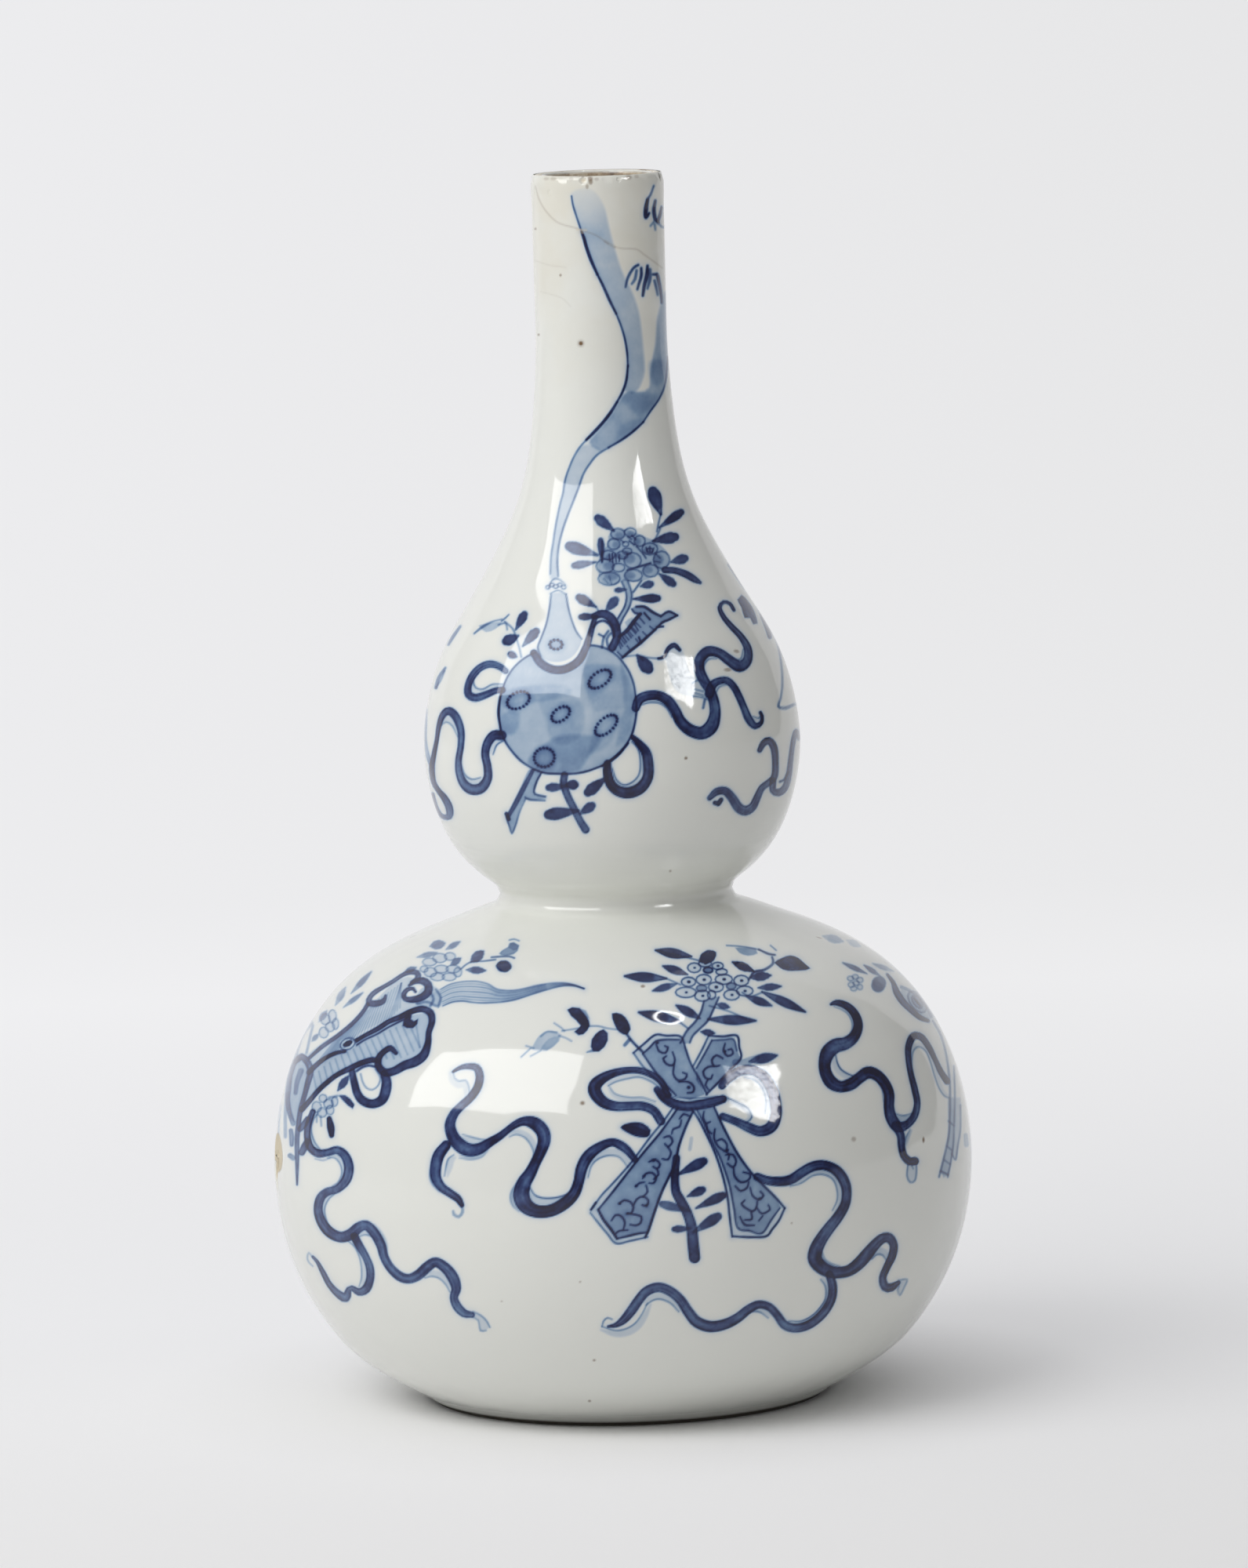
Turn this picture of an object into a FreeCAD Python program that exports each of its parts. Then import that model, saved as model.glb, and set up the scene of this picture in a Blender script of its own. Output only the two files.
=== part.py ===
import FreeCAD, Part
import math
import os

from FreeCAD import Vector

# Double gourd vase of thrown porcelain, painted and glazed.
# Units are millimetres. The origin is the centre of the foot ring on the table, and +Z is up.
# Every radius and height of the outline is measured over the glaze.

# Outline: the foot, the widest and narrowest places, and the rim
foot_radius = 41.3
foot_height = 1.3
belly_radius = 71.4
belly_height = 49.0
waist_radius = 23.7
waist_height = 103.7
waist_fillet_radius = 2.4
bulb_radius = 38.4
bulb_height = 133.5
neck_radius = 13.35
neck_height = 219.0
rim_radius = 13.45
rim_height = 250.0

# Slopes of the outline, in degrees from level, where a curve starts or ends
foot_flare_angle = 24.0
shoulder_end_angle = 19.0
bulb_start_angle = 36.0

# Walls of the fired clay, without glaze
base_wall = 6.0
belly_wall = 4.6
waist_wall = 4.8
bulb_wall = 3.8
bore_radius = 10.7
bore_length = 32.0

# Glaze coats
outer_glaze_thickness = 0.4
inner_glaze_thickness = 0.3
base_glaze_thickness = 0.3
lip_glaze_end_angle = 46.0

# Foot ring and the recessed base inside it
foot_bare_height = 0.8
foot_ring_width = 4.2
foot_chamfer = 0.45
recess_depth = 3.6
recess_dome = 0.5
recess_wall_lean = 0.7

# Luting: the slip that joins one thrown section to the next
luting_thickness = 1.0
belly_luting_above_belly = 3.0
neck_luting_below_neck = 42.0

# Where the outline passes between two of its stations. Each pair is the share of the
# way in radius, then in height, from the first station to the second.
bowl_shares = ((0.160, 0.050), (0.345, 0.120), (0.518, 0.203), (0.663, 0.310),
               (0.821, 0.475), (0.945, 0.690))
shoulder_shares = ((0.030, 0.230), (0.105, 0.430), (0.222, 0.605), (0.392, 0.755),
                   (0.570, 0.850), (0.735, 0.912), (0.870, 0.957))
bulb_shares = ((0.190, 0.074), (0.350, 0.146), (0.535, 0.250), (0.752, 0.438), (0.926, 0.704))
neck_shares = ((0.032, 0.100), (0.108, 0.188), (0.245, 0.277), (0.425, 0.364),
               (0.612, 0.460), (0.780, 0.560), (0.893, 0.665), (0.957, 0.785),
               (0.990, 0.905))
floor_flat_share = 0.55

# How many steps follow a curve when another runs parallel to it
parallel_steps = 48

# A flake knocked off the belly: overlapping round bites, each with its place round the
# vase in degrees from the front, its height, its reach from the bite's middle and its depth
chip_azimuth = -83.0
chip_height = 49.6
chip_reach = 3.6
chip_depth = 0.95
chip_bites = ((0.0, 0.0, 1.0), (2.4, 0.55, 0.78), (-2.6, -0.42, 0.70), (0.6, -0.85, 0.62))

# Small nibbles in the rim: places round the mouth in degrees, and share of the largest
rim_nibble_reach = 1.1
rim_nibble_depth = 0.42
rim_nibbles = ((-12.0, 1.00), (-27.0, 0.50), (-41.0, 0.42), (19.0, 0.72), (33.0, 0.48),
               (74.0, 0.60), (121.0, 0.85), (162.0, 0.55), (-104.0, 0.75), (-148.0, 0.50))

# One overrun serves every cut
overrun = 5.0


# Points and curves of the outline

def at(radius, height):
    return Vector(radius, 0, height)


def unit(direction):
    return direction / direction.Length


def heading(degrees):
    """Direction in the outline's plane, turned up from +X."""
    angle = math.radians(degrees)
    return Vector(math.cos(angle), 0, math.sin(angle))


def along(start, end, shares):
    """Points between two stations, at these shares of the way in radius and in height."""
    points = []
    for radius_share, height_share in shares:
        points.append(at(start.x + radius_share * (end.x - start.x),
                         start.z + height_share * (end.z - start.z)))
    return points


def curve_through(points, start_direction, end_direction):
    curve = Part.BSplineCurve()
    curve.interpolate(Points=points, InitialTangent=start_direction, FinalTangent=end_direction,
                      Scale=False)
    return curve


def inward(curve, parameter):
    """Unit normal of an outline that climbs, on the side of the axis."""
    tangent = unit(curve.tangent(parameter)[0])
    return Vector(-tangent.z, 0, tangent.x)


def offset_points(curve, points, depth_at):
    """The points moved in from the surface, each by the depth at its own height."""
    return [point + inward(curve, curve.parameter(point)) * depth_at(point.z)
            for point in points]


def parallel(curve, distance):
    """The same curve moved in everywhere by one distance."""
    first, last = curve.FirstParameter, curve.LastParameter
    points = []
    for step in range(parallel_steps + 1):
        parameter = first + (last - first) * step / parallel_steps
        points.append(curve.value(parameter) + inward(curve, parameter) * distance)
    return curve_through(points, curve.tangent(first)[0], curve.tangent(last)[0])


def ends(curve):
    return curve.value(curve.FirstParameter), curve.value(curve.LastParameter)


def arc(centre, radius, start_degrees, end_degrees):
    """Edge of a round stretch in the outline's plane, and its two ends."""
    middle = (start_degrees + end_degrees) / 2
    points = [centre + heading(turn) * radius for turn in (start_degrees, middle, end_degrees)]
    return Part.Arc(*points).toShape(), points[0], points[2]


def line(start, end):
    return Part.LineSegment(start, end).toShape()


def turned(edges):
    """Solid of revolution about Z from the edges of a closed outline."""
    face = Part.Face(Part.Wire(Part.__sortEdges__(edges)))
    solid = face.revolve(Vector(0, 0, 0), Vector(0, 0, 1), 360)
    if solid.ShapeType != "Solid":
        solid = Part.Solid(solid.Shells[0])
    if solid.Volume < 0:
        solid.reverse()
    return solid


# The stations, over the glaze

foot = at(foot_radius, foot_height)
belly = at(belly_radius, belly_height)
waist_centre = at(waist_radius + waist_fillet_radius, waist_height)
bulb = at(bulb_radius, bulb_height)
neck = at(neck_radius, neck_height)
lip_half = (rim_radius - outer_glaze_thickness - bore_radius - inner_glaze_thickness) / 2
lip_centre = at(bore_radius + inner_glaze_thickness + lip_half, rim_height - lip_half)
rim = at(rim_radius, lip_centre.z)

# The waist's hollow runs round its centre, from the shoulder's end to the bulb's start
shoulder_end_turn = 270 - shoulder_end_angle
bulb_start_turn = 90 + bulb_start_angle


def lower_curve():
    """From the foot over the belly to the shoulder's end, and its stations."""
    shoulder_end = waist_centre + heading(shoulder_end_turn) * waist_fillet_radius
    points = [foot] + along(foot, belly, bowl_shares) + [belly]
    points += along(belly, shoulder_end, shoulder_shares) + [shoulder_end]
    return curve_through(points, heading(foot_flare_angle),
                         heading(180 - shoulder_end_angle)), points


def upper_curve():
    """From the waist over the bulb to where the neck runs straight, and its stations."""
    bulb_start = waist_centre + heading(bulb_start_turn) * waist_fillet_radius
    points = [bulb_start] + along(bulb_start, bulb, bulb_shares) + [bulb]
    points += along(bulb, neck, neck_shares) + [neck]
    return curve_through(points, heading(bulb_start_angle), unit(rim - neck)), points


glaze_lower, lower_stations = lower_curve()
glaze_upper, upper_stations = upper_curve()

# The clay's own outside is the glaze's outside moved in by the coat
clay_lower = parallel(glaze_lower, outer_glaze_thickness)
clay_upper = parallel(glaze_upper, outer_glaze_thickness)
clay_foot = ends(clay_lower)[0]
clay_neck = ends(clay_upper)[1]
clay_rim = lip_centre + heading(0) * lip_half


# The cavity: the clay's inside, from the middle of the floor up to the bore

neck_wall = neck_radius - outer_glaze_thickness - bore_radius - inner_glaze_thickness
wall_stations = ((0, base_wall), (belly_height, belly_wall), (waist_height, waist_wall),
                 (bulb_height, bulb_wall), (neck_height, neck_wall))
floor_height = recess_depth + recess_dome + base_glaze_thickness + base_wall
bore_foot_height = lip_centre.z - bore_length


def wall_below_surface(height):
    """Glaze and clay together at a height, straight between the named walls."""
    for (low, low_wall), (high, high_wall) in zip(wall_stations, wall_stations[1:]):
        if height <= high:
            share = (height - low) / (high - low)
            return outer_glaze_thickness + low_wall + share * (high_wall - low_wall)
    return outer_glaze_thickness + neck_wall


waist_inside_radius = waist_fillet_radius + outer_glaze_thickness + waist_wall
floor_middle = at(0, floor_height)
bore_foot = at(bore_radius + inner_glaze_thickness, bore_foot_height)
shoulder_end_inside = waist_centre + heading(shoulder_end_turn) * waist_inside_radius
bulb_start_inside = waist_centre + heading(bulb_start_turn) * waist_inside_radius


def lower_cavity_curve():
    """From the middle of the floor up under the shoulder to the waist."""
    points = [floor_middle, at(floor_flat_share * foot_radius, floor_height)]
    points += offset_points(glaze_lower, lower_stations[2:-1], wall_below_surface)
    points += [shoulder_end_inside]
    return curve_through(points, heading(0), heading(180 - shoulder_end_angle))


def upper_cavity_curve():
    """From the waist up inside the bulb to the foot of the bore."""
    inside = offset_points(glaze_upper, upper_stations[1:], wall_below_surface)
    points = [bulb_start_inside]
    points += [point for point in inside if point.z < bore_foot.z - bore_radius]
    points += [bore_foot]
    return curve_through(points, heading(bulb_start_angle), heading(90))


clay_lower_inside = lower_cavity_curve()
clay_upper_inside = upper_cavity_curve()
glaze_lower_inside = parallel(clay_lower_inside, inner_glaze_thickness)
glaze_upper_inside = parallel(clay_upper_inside, inner_glaze_thickness)


def waist_arc(radius):
    return arc(waist_centre, radius, shoulder_end_turn, bulb_start_turn)[0]


# The whole clay body, before it is divided at its lutings

def foot_and_base_edges():
    """Foot ring, recess wall and the domed underside, from the axis to the clay's outside."""
    inner_radius = foot_radius - foot_ring_width
    points = [
        at(0, recess_depth + recess_dome + base_glaze_thickness),
        at(inner_radius - recess_wall_lean, recess_depth + base_glaze_thickness),
        at(inner_radius, foot_chamfer),
        at(inner_radius + foot_chamfer, 0),
        at(clay_foot.x - 2 * foot_chamfer, 0),
        at(clay_foot.x - foot_chamfer, foot_chamfer),
        clay_foot,
    ]
    return [line(a, b) for a, b in zip(points, points[1:])]


def foot_wall_radius(height):
    """Radius of the clay's foot wall, which leans out to the belly's start."""
    low = at(clay_foot.x - foot_chamfer, foot_chamfer)
    share = (height - low.z) / (clay_foot.z - low.z)
    return low.x + share * (clay_foot.x - low.x)


def clay_body():
    lip, _, bore_top = arc(lip_centre, lip_half, 0, 180)
    edges = foot_and_base_edges()
    edges += [clay_lower.toShape(), waist_arc(waist_fillet_radius + outer_glaze_thickness)]
    edges += [clay_upper.toShape(), line(clay_neck, clay_rim), lip, line(bore_top, bore_foot)]
    edges += [clay_upper_inside.toShape(), waist_arc(waist_inside_radius)]
    edges += [clay_lower_inside.toShape()]
    edges += [line(floor_middle, at(0, recess_depth + recess_dome + base_glaze_thickness))]
    return turned(edges)


def slab(low, high):
    """A disc wider than the vase, between two heights."""
    return Part.makeCylinder(belly_radius + overrun, high - low, Vector(0, 0, low))


# The flake and the nibbles, as round bites

def bite(azimuth, surface_radius, height, reach, depth):
    """Ball that bites to a depth in a surface, with a mouth of this reach."""
    ball_radius = (reach * reach + depth * depth) / (2 * depth)
    from_axis = surface_radius - depth + ball_radius
    angle = math.radians(azimuth)
    centre = Vector(from_axis * math.sin(angle), -from_axis * math.cos(angle), height)
    return Part.makeSphere(ball_radius, centre)


def belly_flake():
    bites = []
    for turn, rise_share, size_share in chip_bites:
        bites.append(bite(chip_azimuth + turn, belly_radius, chip_height + rise_share * chip_reach,
                          chip_reach * size_share, chip_depth * size_share))
    return bites


def rim_bites():
    bites = []
    for azimuth, size_share in rim_nibbles:
        bites.append(bite(azimuth, rim_radius, rim_height - lip_half / 2,
                          rim_nibble_reach * size_share, rim_nibble_depth * size_share))
    return bites


# The thrown sections and the slip between them

belly_luting = belly_height + belly_luting_above_belly
waist_luting = waist_height
neck_luting = neck_height - neck_luting_below_neck


def between_heights(body, low, high):
    return body.common(slab(low, high)).Solids[0]


def below(height):
    return height - luting_thickness / 2


def above(height):
    return height + luting_thickness / 2


def lower_bulb_bowl(body):
    return between_heights(body, -overrun, below(belly_luting))


def lower_bulb_shoulder(body):
    return between_heights(body, above(belly_luting), below(waist_luting))


def upper_bulb(body):
    return between_heights(body, above(waist_luting), below(neck_luting))


def neck_tube(body):
    return between_heights(body, above(neck_luting), rim_height + overrun)


def luting_slip(body, height):
    return between_heights(body, below(height), above(height))


# The glaze coats

def outer_glaze():
    """One coat from the foot ring's bare edge to the rim's worn crest."""
    lip_out, _, lip_out_end = arc(lip_centre, lip_half + outer_glaze_thickness, 0,
                                  lip_glaze_end_angle)
    lip_in, _, lip_in_end = arc(lip_centre, lip_half, 0, lip_glaze_end_angle)
    foot_out = at(foot_radius, foot_bare_height)
    foot_in = at(foot_wall_radius(foot_bare_height), foot_bare_height)
    edges = [glaze_lower.toShape(), waist_arc(waist_fillet_radius), glaze_upper.toShape()]
    edges += [line(neck, rim), lip_out, line(lip_out_end, lip_in_end), lip_in]
    edges += [line(clay_rim, clay_neck), clay_upper.toShape()]
    edges += [waist_arc(waist_fillet_radius + outer_glaze_thickness), clay_lower.toShape()]
    edges += [line(clay_foot, foot_in), line(foot_in, foot_out), line(foot_out, foot)]
    return turned(edges)


def inner_glaze():
    """One coat from the rim's worn crest down the bore and over the whole inside."""
    start = 180 - lip_glaze_end_angle
    lip_out, lip_out_start, lip_out_end = arc(lip_centre, lip_half + inner_glaze_thickness,
                                              start, 180)
    lip_in, lip_in_start, lip_in_end = arc(lip_centre, lip_half, start, 180)
    edges = [line(lip_out_start, lip_in_start), lip_out, lip_in]
    edges += [line(lip_in_end, bore_foot), line(lip_out_end, ends(glaze_upper_inside)[1])]
    edges += [clay_upper_inside.toShape(), glaze_upper_inside.toShape()]
    edges += [waist_arc(waist_inside_radius)]
    edges += [waist_arc(waist_inside_radius + inner_glaze_thickness)]
    edges += [clay_lower_inside.toShape(), glaze_lower_inside.toShape()]
    edges += [line(floor_middle, ends(glaze_lower_inside)[0])]
    return turned(edges)


def base_glaze():
    """The coat on the domed underside, inside the foot ring."""
    edge_radius = foot_radius - foot_ring_width - recess_wall_lean
    clay_edge = at(edge_radius, recess_depth + base_glaze_thickness)
    ring_foot = at(foot_radius - foot_ring_width, foot_chamfer)
    share = base_glaze_thickness / (clay_edge.z - ring_foot.z)
    glaze_edge = clay_edge + (ring_foot - clay_edge) * share
    points = [
        at(0, recess_depth + recess_dome),
        glaze_edge,
        clay_edge,
        at(0, recess_depth + recess_dome + base_glaze_thickness),
    ]
    return turned([line(a, b) for a, b in zip(points, points[1:] + points[:1])])


def build():
    body = clay_body()
    flake = belly_flake()
    nibbles = rim_bites()
    parts = {
        "lower_bulb_bowl": lower_bulb_bowl(body),
        "belly_luting_slip": luting_slip(body, belly_luting),
        "lower_bulb_shoulder": lower_bulb_shoulder(body),
        "waist_luting_slip": luting_slip(body, waist_luting),
        "upper_bulb": upper_bulb(body),
        "neck_luting_slip": luting_slip(body, neck_luting),
        "neck_tube": neck_tube(body),
        "outer_glaze": outer_glaze(),
        "inner_glaze": inner_glaze(),
        "base_glaze": base_glaze(),
    }
    for name in ("lower_bulb_bowl", "belly_luting_slip", "lower_bulb_shoulder", "outer_glaze"):
        parts[name] = parts[name].cut(flake)
    for name in ("neck_tube", "outer_glaze"):
        parts[name] = parts[name].cut(nibbles)
    return parts


def main():
    os.makedirs("parts", exist_ok=True)
    for name, shape in build().items():
        solids = shape.Solids
        print(f"{name}: {len(solids)} solid, volume {shape.Volume:.1f} mm3, valid {shape.isValid()}")
        if len(solids) == 1:
            shape = solids[0]
        shape.exportStep(f"parts/{name}.step")


main()
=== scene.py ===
# %% [markdown]
# A double gourd vase: porcelain thrown in sections, joined with slip, painted with cobalt
# blue under a clear glaze. The construction is loaded first and stays as it is. This lesson
# adds what the eye sees: the painted coat of glaze, the bare clay, and the light on both.

# %% Load the vase
import math

import bpy
import numpy as np
from mathutils import Matrix, Vector


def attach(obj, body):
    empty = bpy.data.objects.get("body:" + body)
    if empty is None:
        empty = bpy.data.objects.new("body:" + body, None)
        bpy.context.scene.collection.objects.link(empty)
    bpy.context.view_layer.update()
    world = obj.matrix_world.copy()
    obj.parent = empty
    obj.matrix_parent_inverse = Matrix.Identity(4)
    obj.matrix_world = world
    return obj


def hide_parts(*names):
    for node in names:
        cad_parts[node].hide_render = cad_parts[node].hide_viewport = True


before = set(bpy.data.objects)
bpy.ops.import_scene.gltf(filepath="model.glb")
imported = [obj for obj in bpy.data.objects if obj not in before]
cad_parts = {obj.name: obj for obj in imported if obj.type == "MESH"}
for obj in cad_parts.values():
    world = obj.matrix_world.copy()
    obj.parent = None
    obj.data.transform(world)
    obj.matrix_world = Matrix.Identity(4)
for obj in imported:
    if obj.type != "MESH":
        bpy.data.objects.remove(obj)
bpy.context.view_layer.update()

bpy.ops.object.select_all(action="DESELECT")
print("pieces of the vase:", sorted(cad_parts))

# %% [markdown]
# Sizes are written in millimetres and turned to metres by one name. Colours are written as
# a painter would pick them, in hex, and one function turns them to the light they stand for.
# Another small function adds a shader node, with its settings and what is linked to it.

# %% Millimetres, colours and nodes
mm = 0.001


def colour(code):
    """The linear colour, with alpha, of a hex code such as "e4e6e1", by the sRGB formula."""
    shares = [int(code[start:start + 2], 16) / 255 for start in (0, 2, 4)]
    return tuple(c / 12.92 if c <= 0.04045 else ((c + 0.055) / 1.055) ** 2.4
                 for c in shares) + (1.0,)


def feed(tree, socket, value):
    """Gives a socket a value, an output, or the first output that a node has in use."""
    if hasattr(value, "outputs"):
        value = next(output for output in value.outputs if output.enabled)
    if hasattr(value, "is_output"):
        tree.links.new(value, socket)
    else:
        socket.default_value = value


def add(tree, kind, inputs=(), stops=(), **settings):
    """Adds a shader node with its settings, its links and, for a ramp, its stops of colour.

    The inputs come in order or by name. Each is a value, an output, or a node.
    """
    node = tree.nodes.new("ShaderNode" + kind)
    for name, value in settings.items():
        setattr(node, name, value)
    for _ in stops[2:]:  # a new ramp has two stops already
        node.color_ramp.elements.new(0.5)
    for element, (place, code) in zip(node.color_ramp.elements if stops else (), stops):
        element.position, element.color = place, colour(code)
    in_use = [socket for socket in node.inputs if socket.enabled]
    for key, value in inputs.items() if isinstance(inputs, dict) else enumerate(inputs):
        feed(tree, in_use[key] if isinstance(key, int) else node.inputs[key], value)
    return node


def numbers(items, name, width):
    """Reads one property of every vertex or loop into an array, a row for each."""
    values = np.empty(len(items) * width)
    items.foreach_get(name, values)
    return values.reshape(-1, width)


# %% [markdown]
# The painted coat follows the construction's own outline. A solid turned about an axis keeps
# its outline in the vertices of one half plane, so these are read from the glaze where it
# faces outwards. A smooth curve goes through them, and is then cut in equal short steps. It
# is worked out in arrays, because turning a profile with a spin in edit mode would give the
# facets of the construction and no place to paint on.

# %% Read the outline from the glaze
coat_depth = 0.4 * mm
thinned_to = 0.45 * mm  # points of the outline that are closer than this are left out
foot_corner_height = 1.3 * mm
curve_step = 0.02 * mm
faces_outwards = 0.1  # least share of the normal that points away from the axis
fewest_points = 40


def meridian(node):
    """Radius and height of the vertices at the node's seam, where its surface faces outwards."""
    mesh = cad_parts[node].data
    places = numbers(mesh.vertices, "co", 3)
    normals = numbers(mesh.vertices, "normal", 3)
    for off_seam in (0.001 * mm, 0.01 * mm, 0.1 * mm):
        seam = (np.abs(places[:, 1]) < off_seam) & (places[:, 0] > 0)
        seam &= normals[:, 0] > faces_outwards
        if seam.sum() >= fewest_points:
            break
    points = places[seam][:, (0, 2)]
    return points[np.argsort(points[:, 1])]


def thinned(points, gap):
    """The points without those closer to the last one kept than a gap."""
    kept = [points[0]]
    for point in points[1:]:
        if np.linalg.norm(point - kept[-1]) >= gap:
            kept.append(point)
    return np.array(kept)


def through(points, step):
    """A natural cubic spline through the points, in short equal steps."""
    length = np.concatenate([[0], np.cumsum(np.linalg.norm(np.diff(points, axis=0), axis=1))])
    gap = np.diff(length)
    slope = np.diff(points, axis=0) / gap[:, None]
    count = len(points)
    sums, wanted = np.eye(count), np.zeros((count, 2))
    for i in range(1, count - 1):
        sums[i, i - 1:i + 2] = gap[i - 1], 2 * (gap[i - 1] + gap[i]), gap[i]
        wanted[i] = 6 * (slope[i] - slope[i - 1])
    bend = np.linalg.solve(sums, wanted)
    at = np.linspace(0, length[-1], int(length[-1] / step) + 1)
    i = np.clip(np.searchsorted(length, at) - 1, 0, count - 2)
    h, a, b = gap[i, None], (length[i + 1] - at)[:, None], (at - length[i])[:, None]
    place = (bend[i] * a ** 3 + bend[i + 1] * b ** 3) / (6 * h)
    place += (points[i] / h - bend[i] * h / 6) * a + (points[i + 1] / h - bend[i + 1] * h / 6) * b
    return place


glaze_points = meridian("outer_glaze")
foot_edge = glaze_points[0]
above_foot = glaze_points[:, 1] > foot_corner_height - 0.001 * mm
curve_points = thinned(glaze_points[above_foot], thinned_to)
outline = np.vstack([foot_edge, through(curve_points, curve_step)])
run = np.concatenate([[0], np.cumsum(np.linalg.norm(np.diff(outline, axis=0), axis=1))])
print(f"outline: {len(curve_points)} points, {run[-1] / mm:.1f} mm from the foot to the rim")

# %% [markdown]
# The coat is worked on in three sheets, like a canvas wrapped round the vase: the lower
# bulb, the upper bulb and the neck. Each is a grid of small steps, about a quarter of a
# millimetre, because the thinnest brush line is only three steps wide.

# %% Wrap three sheets round the vase
step = 0.25 * mm
patch = 8  # a patch of 8 by 8 steps stays one face where nothing is painted
lower_columns, upper_columns, neck_columns = 1792, 1024, 640
waist_height = 103.7 * mm
neck_foot_height = 165.0 * mm


def run_at_height(height):
    """How far along the outline a height is first reached."""
    return float(np.interp(height, outline[:, 1], run))


class Sheet:
    """Part of the coat, as rows going up and columns going round from the back."""

    def __init__(self, name, start, end, columns, first_node):
        self.name, self.columns = name, columns
        self.rows = max(1, round((end - start) / step / patch)) * patch + 1
        self.run = np.linspace(start, end, self.rows)
        self.radius = np.interp(self.run, run, outline[:, 0])
        self.height = np.interp(self.run, run, outline[:, 1])
        near = [np.clip(self.run + shift, 0, run[-1]) for shift in (-step / 2, step / 2)]
        rise = np.diff([np.interp(s, run, outline[:, 1]) for s in near], axis=0)[0]
        spread = np.diff([np.interp(s, run, outline[:, 0]) for s in near], axis=0)[0]
        size = np.hypot(rise, spread)
        self.out, self.up = rise / size, -spread / size
        # the low wall of the foot is shaded as part of the curve above it
        above = int(np.argmax(self.height > foot_corner_height + step))
        self.out[:above], self.up[:above] = self.out[above], self.up[above]
        self.turn = np.linspace(-math.pi, math.pi, columns, endpoint=False)
        self.first, self.count = first_node, self.rows * columns


waist_run, neck_foot_run = run_at_height(waist_height), run_at_height(neck_foot_height)
sheets = []
for name, low, high, columns in (("lower_bulb", 0.0, waist_run, lower_columns),
                                 ("upper_bulb", waist_run, neck_foot_run, upper_columns),
                                 ("neck", neck_foot_run, run[-1], neck_columns)):
    sheets.append(Sheet(name, low, high, columns, sum(s.count for s in sheets)))

# every step of the three sheets in one row of numbers
every = {key: np.concatenate([np.repeat(getattr(s, key), s.columns) for s in sheets])
         for key in ("radius", "height", "out", "up")}
every["turn"] = np.concatenate([np.tile(s.turn, s.rows) for s in sheets])
for s in sheets:
    print(f"{s.name}: {s.rows} rows of {s.columns} steps")

# %% [markdown]
# The camera comes early, because the painting was measured where the camera sees it. It
# stands two metres off with a long lens, a little above the vase, and looks slightly down.
# It is rolled a little, so that the vase leans to the left in the picture.

# %% Stand the camera
picture_width, picture_height = 1592, 2000
sensor = 36.0
lens_in_pixels = 12170.0
camera_place = Vector((0.0, -1933.0, 351.0)) * mm
looks_down, looks_right, rolls_right = map(math.radians, (6.66, 0.065, 1.53))
nearest_seen, farthest_seen = 0.1, 50.0

bpy.ops.object.camera_add(location=camera_place)
camera = bpy.context.object
camera.name = "camera"
camera.data.sensor_width = sensor
camera.data.lens = lens_in_pixels * sensor / picture_height
camera.data.clip_start, camera.data.clip_end = nearest_seen, farthest_seen
turn = (Matrix.Rotation(math.pi / 2 - looks_down, 3, "X")
        @ Matrix.Rotation(-looks_right, 3, "Y") @ Matrix.Rotation(-rolls_right, 3, "Z"))
camera.rotation_euler = turn.to_euler()
bpy.context.scene.camera = camera
camera_axes = np.array(turn)
print("lens in millimetres:", round(camera.data.lens, 1))


# %% Find every step of the coat in the picture
def in_picture(places):
    """Pixel across and down at which the camera sees each place."""
    seen = (places - np.array(camera_place)) @ camera_axes
    scale = -lens_in_pixels / seen[:, 2]
    return picture_width / 2 + seen[:, 0] * scale, picture_height / 2 - seen[:, 1] * scale


def places_at(angle):
    """Every step's place when it stands at this angle."""
    return np.stack([every["radius"] * np.sin(angle), -every["radius"] * np.cos(angle),
                     every["height"]], 1)


def normals_at(angle):
    """Every step's outward direction when it stands at this angle."""
    return np.stack([every["out"] * np.sin(angle), -every["out"] * np.cos(angle), every["up"]], 1)


surface = places_at(every["turn"])


def facing_at(angle):
    """How squarely every step faces the camera: 1 straight on, 0 at the edge of the vase."""
    sight = np.array(camera_place) - places_at(angle)
    return np.einsum("ij,ij->i", normals_at(angle), sight) / np.linalg.norm(sight, axis=1)


seen_steps = np.flatnonzero(facing_at(every["turn"]) > 0)
seen_x, seen_y = in_picture(surface[seen_steps])
print("steps that face the camera:", len(seen_steps))

# %% [markdown]
# The painting is done as on the real vase: each stroke has a middle line, a width and a
# load of cobalt. A stroke is placed by where it is seen in the picture, in pixels of the
# 1592 by 2000 frame, and it colours every step of the sheets that lies under it. A hand
# painted line can't be made by shaping a mesh, so here the strokes are worked out in arrays
# and end up as a colour at each vertex.

# %% Cobalt, stains and an uneven hand
cobalt = np.zeros(len(every["turn"]))
stain = np.zeros(len(every["turn"]))
# widths in pixels; one millimetre on the front of the vase is about 6.3 pixels
soft_edge = 1.3  # over which a stroke's edge fades
pool = 1.8  # over which wet cobalt is darker inside its edge
halo = 2.6  # over which cobalt bleeds into the glaze
# shares of a stroke's own tone
halo_share, brush_share, grain_share = 0.15, 0.26, 0.05


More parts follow.
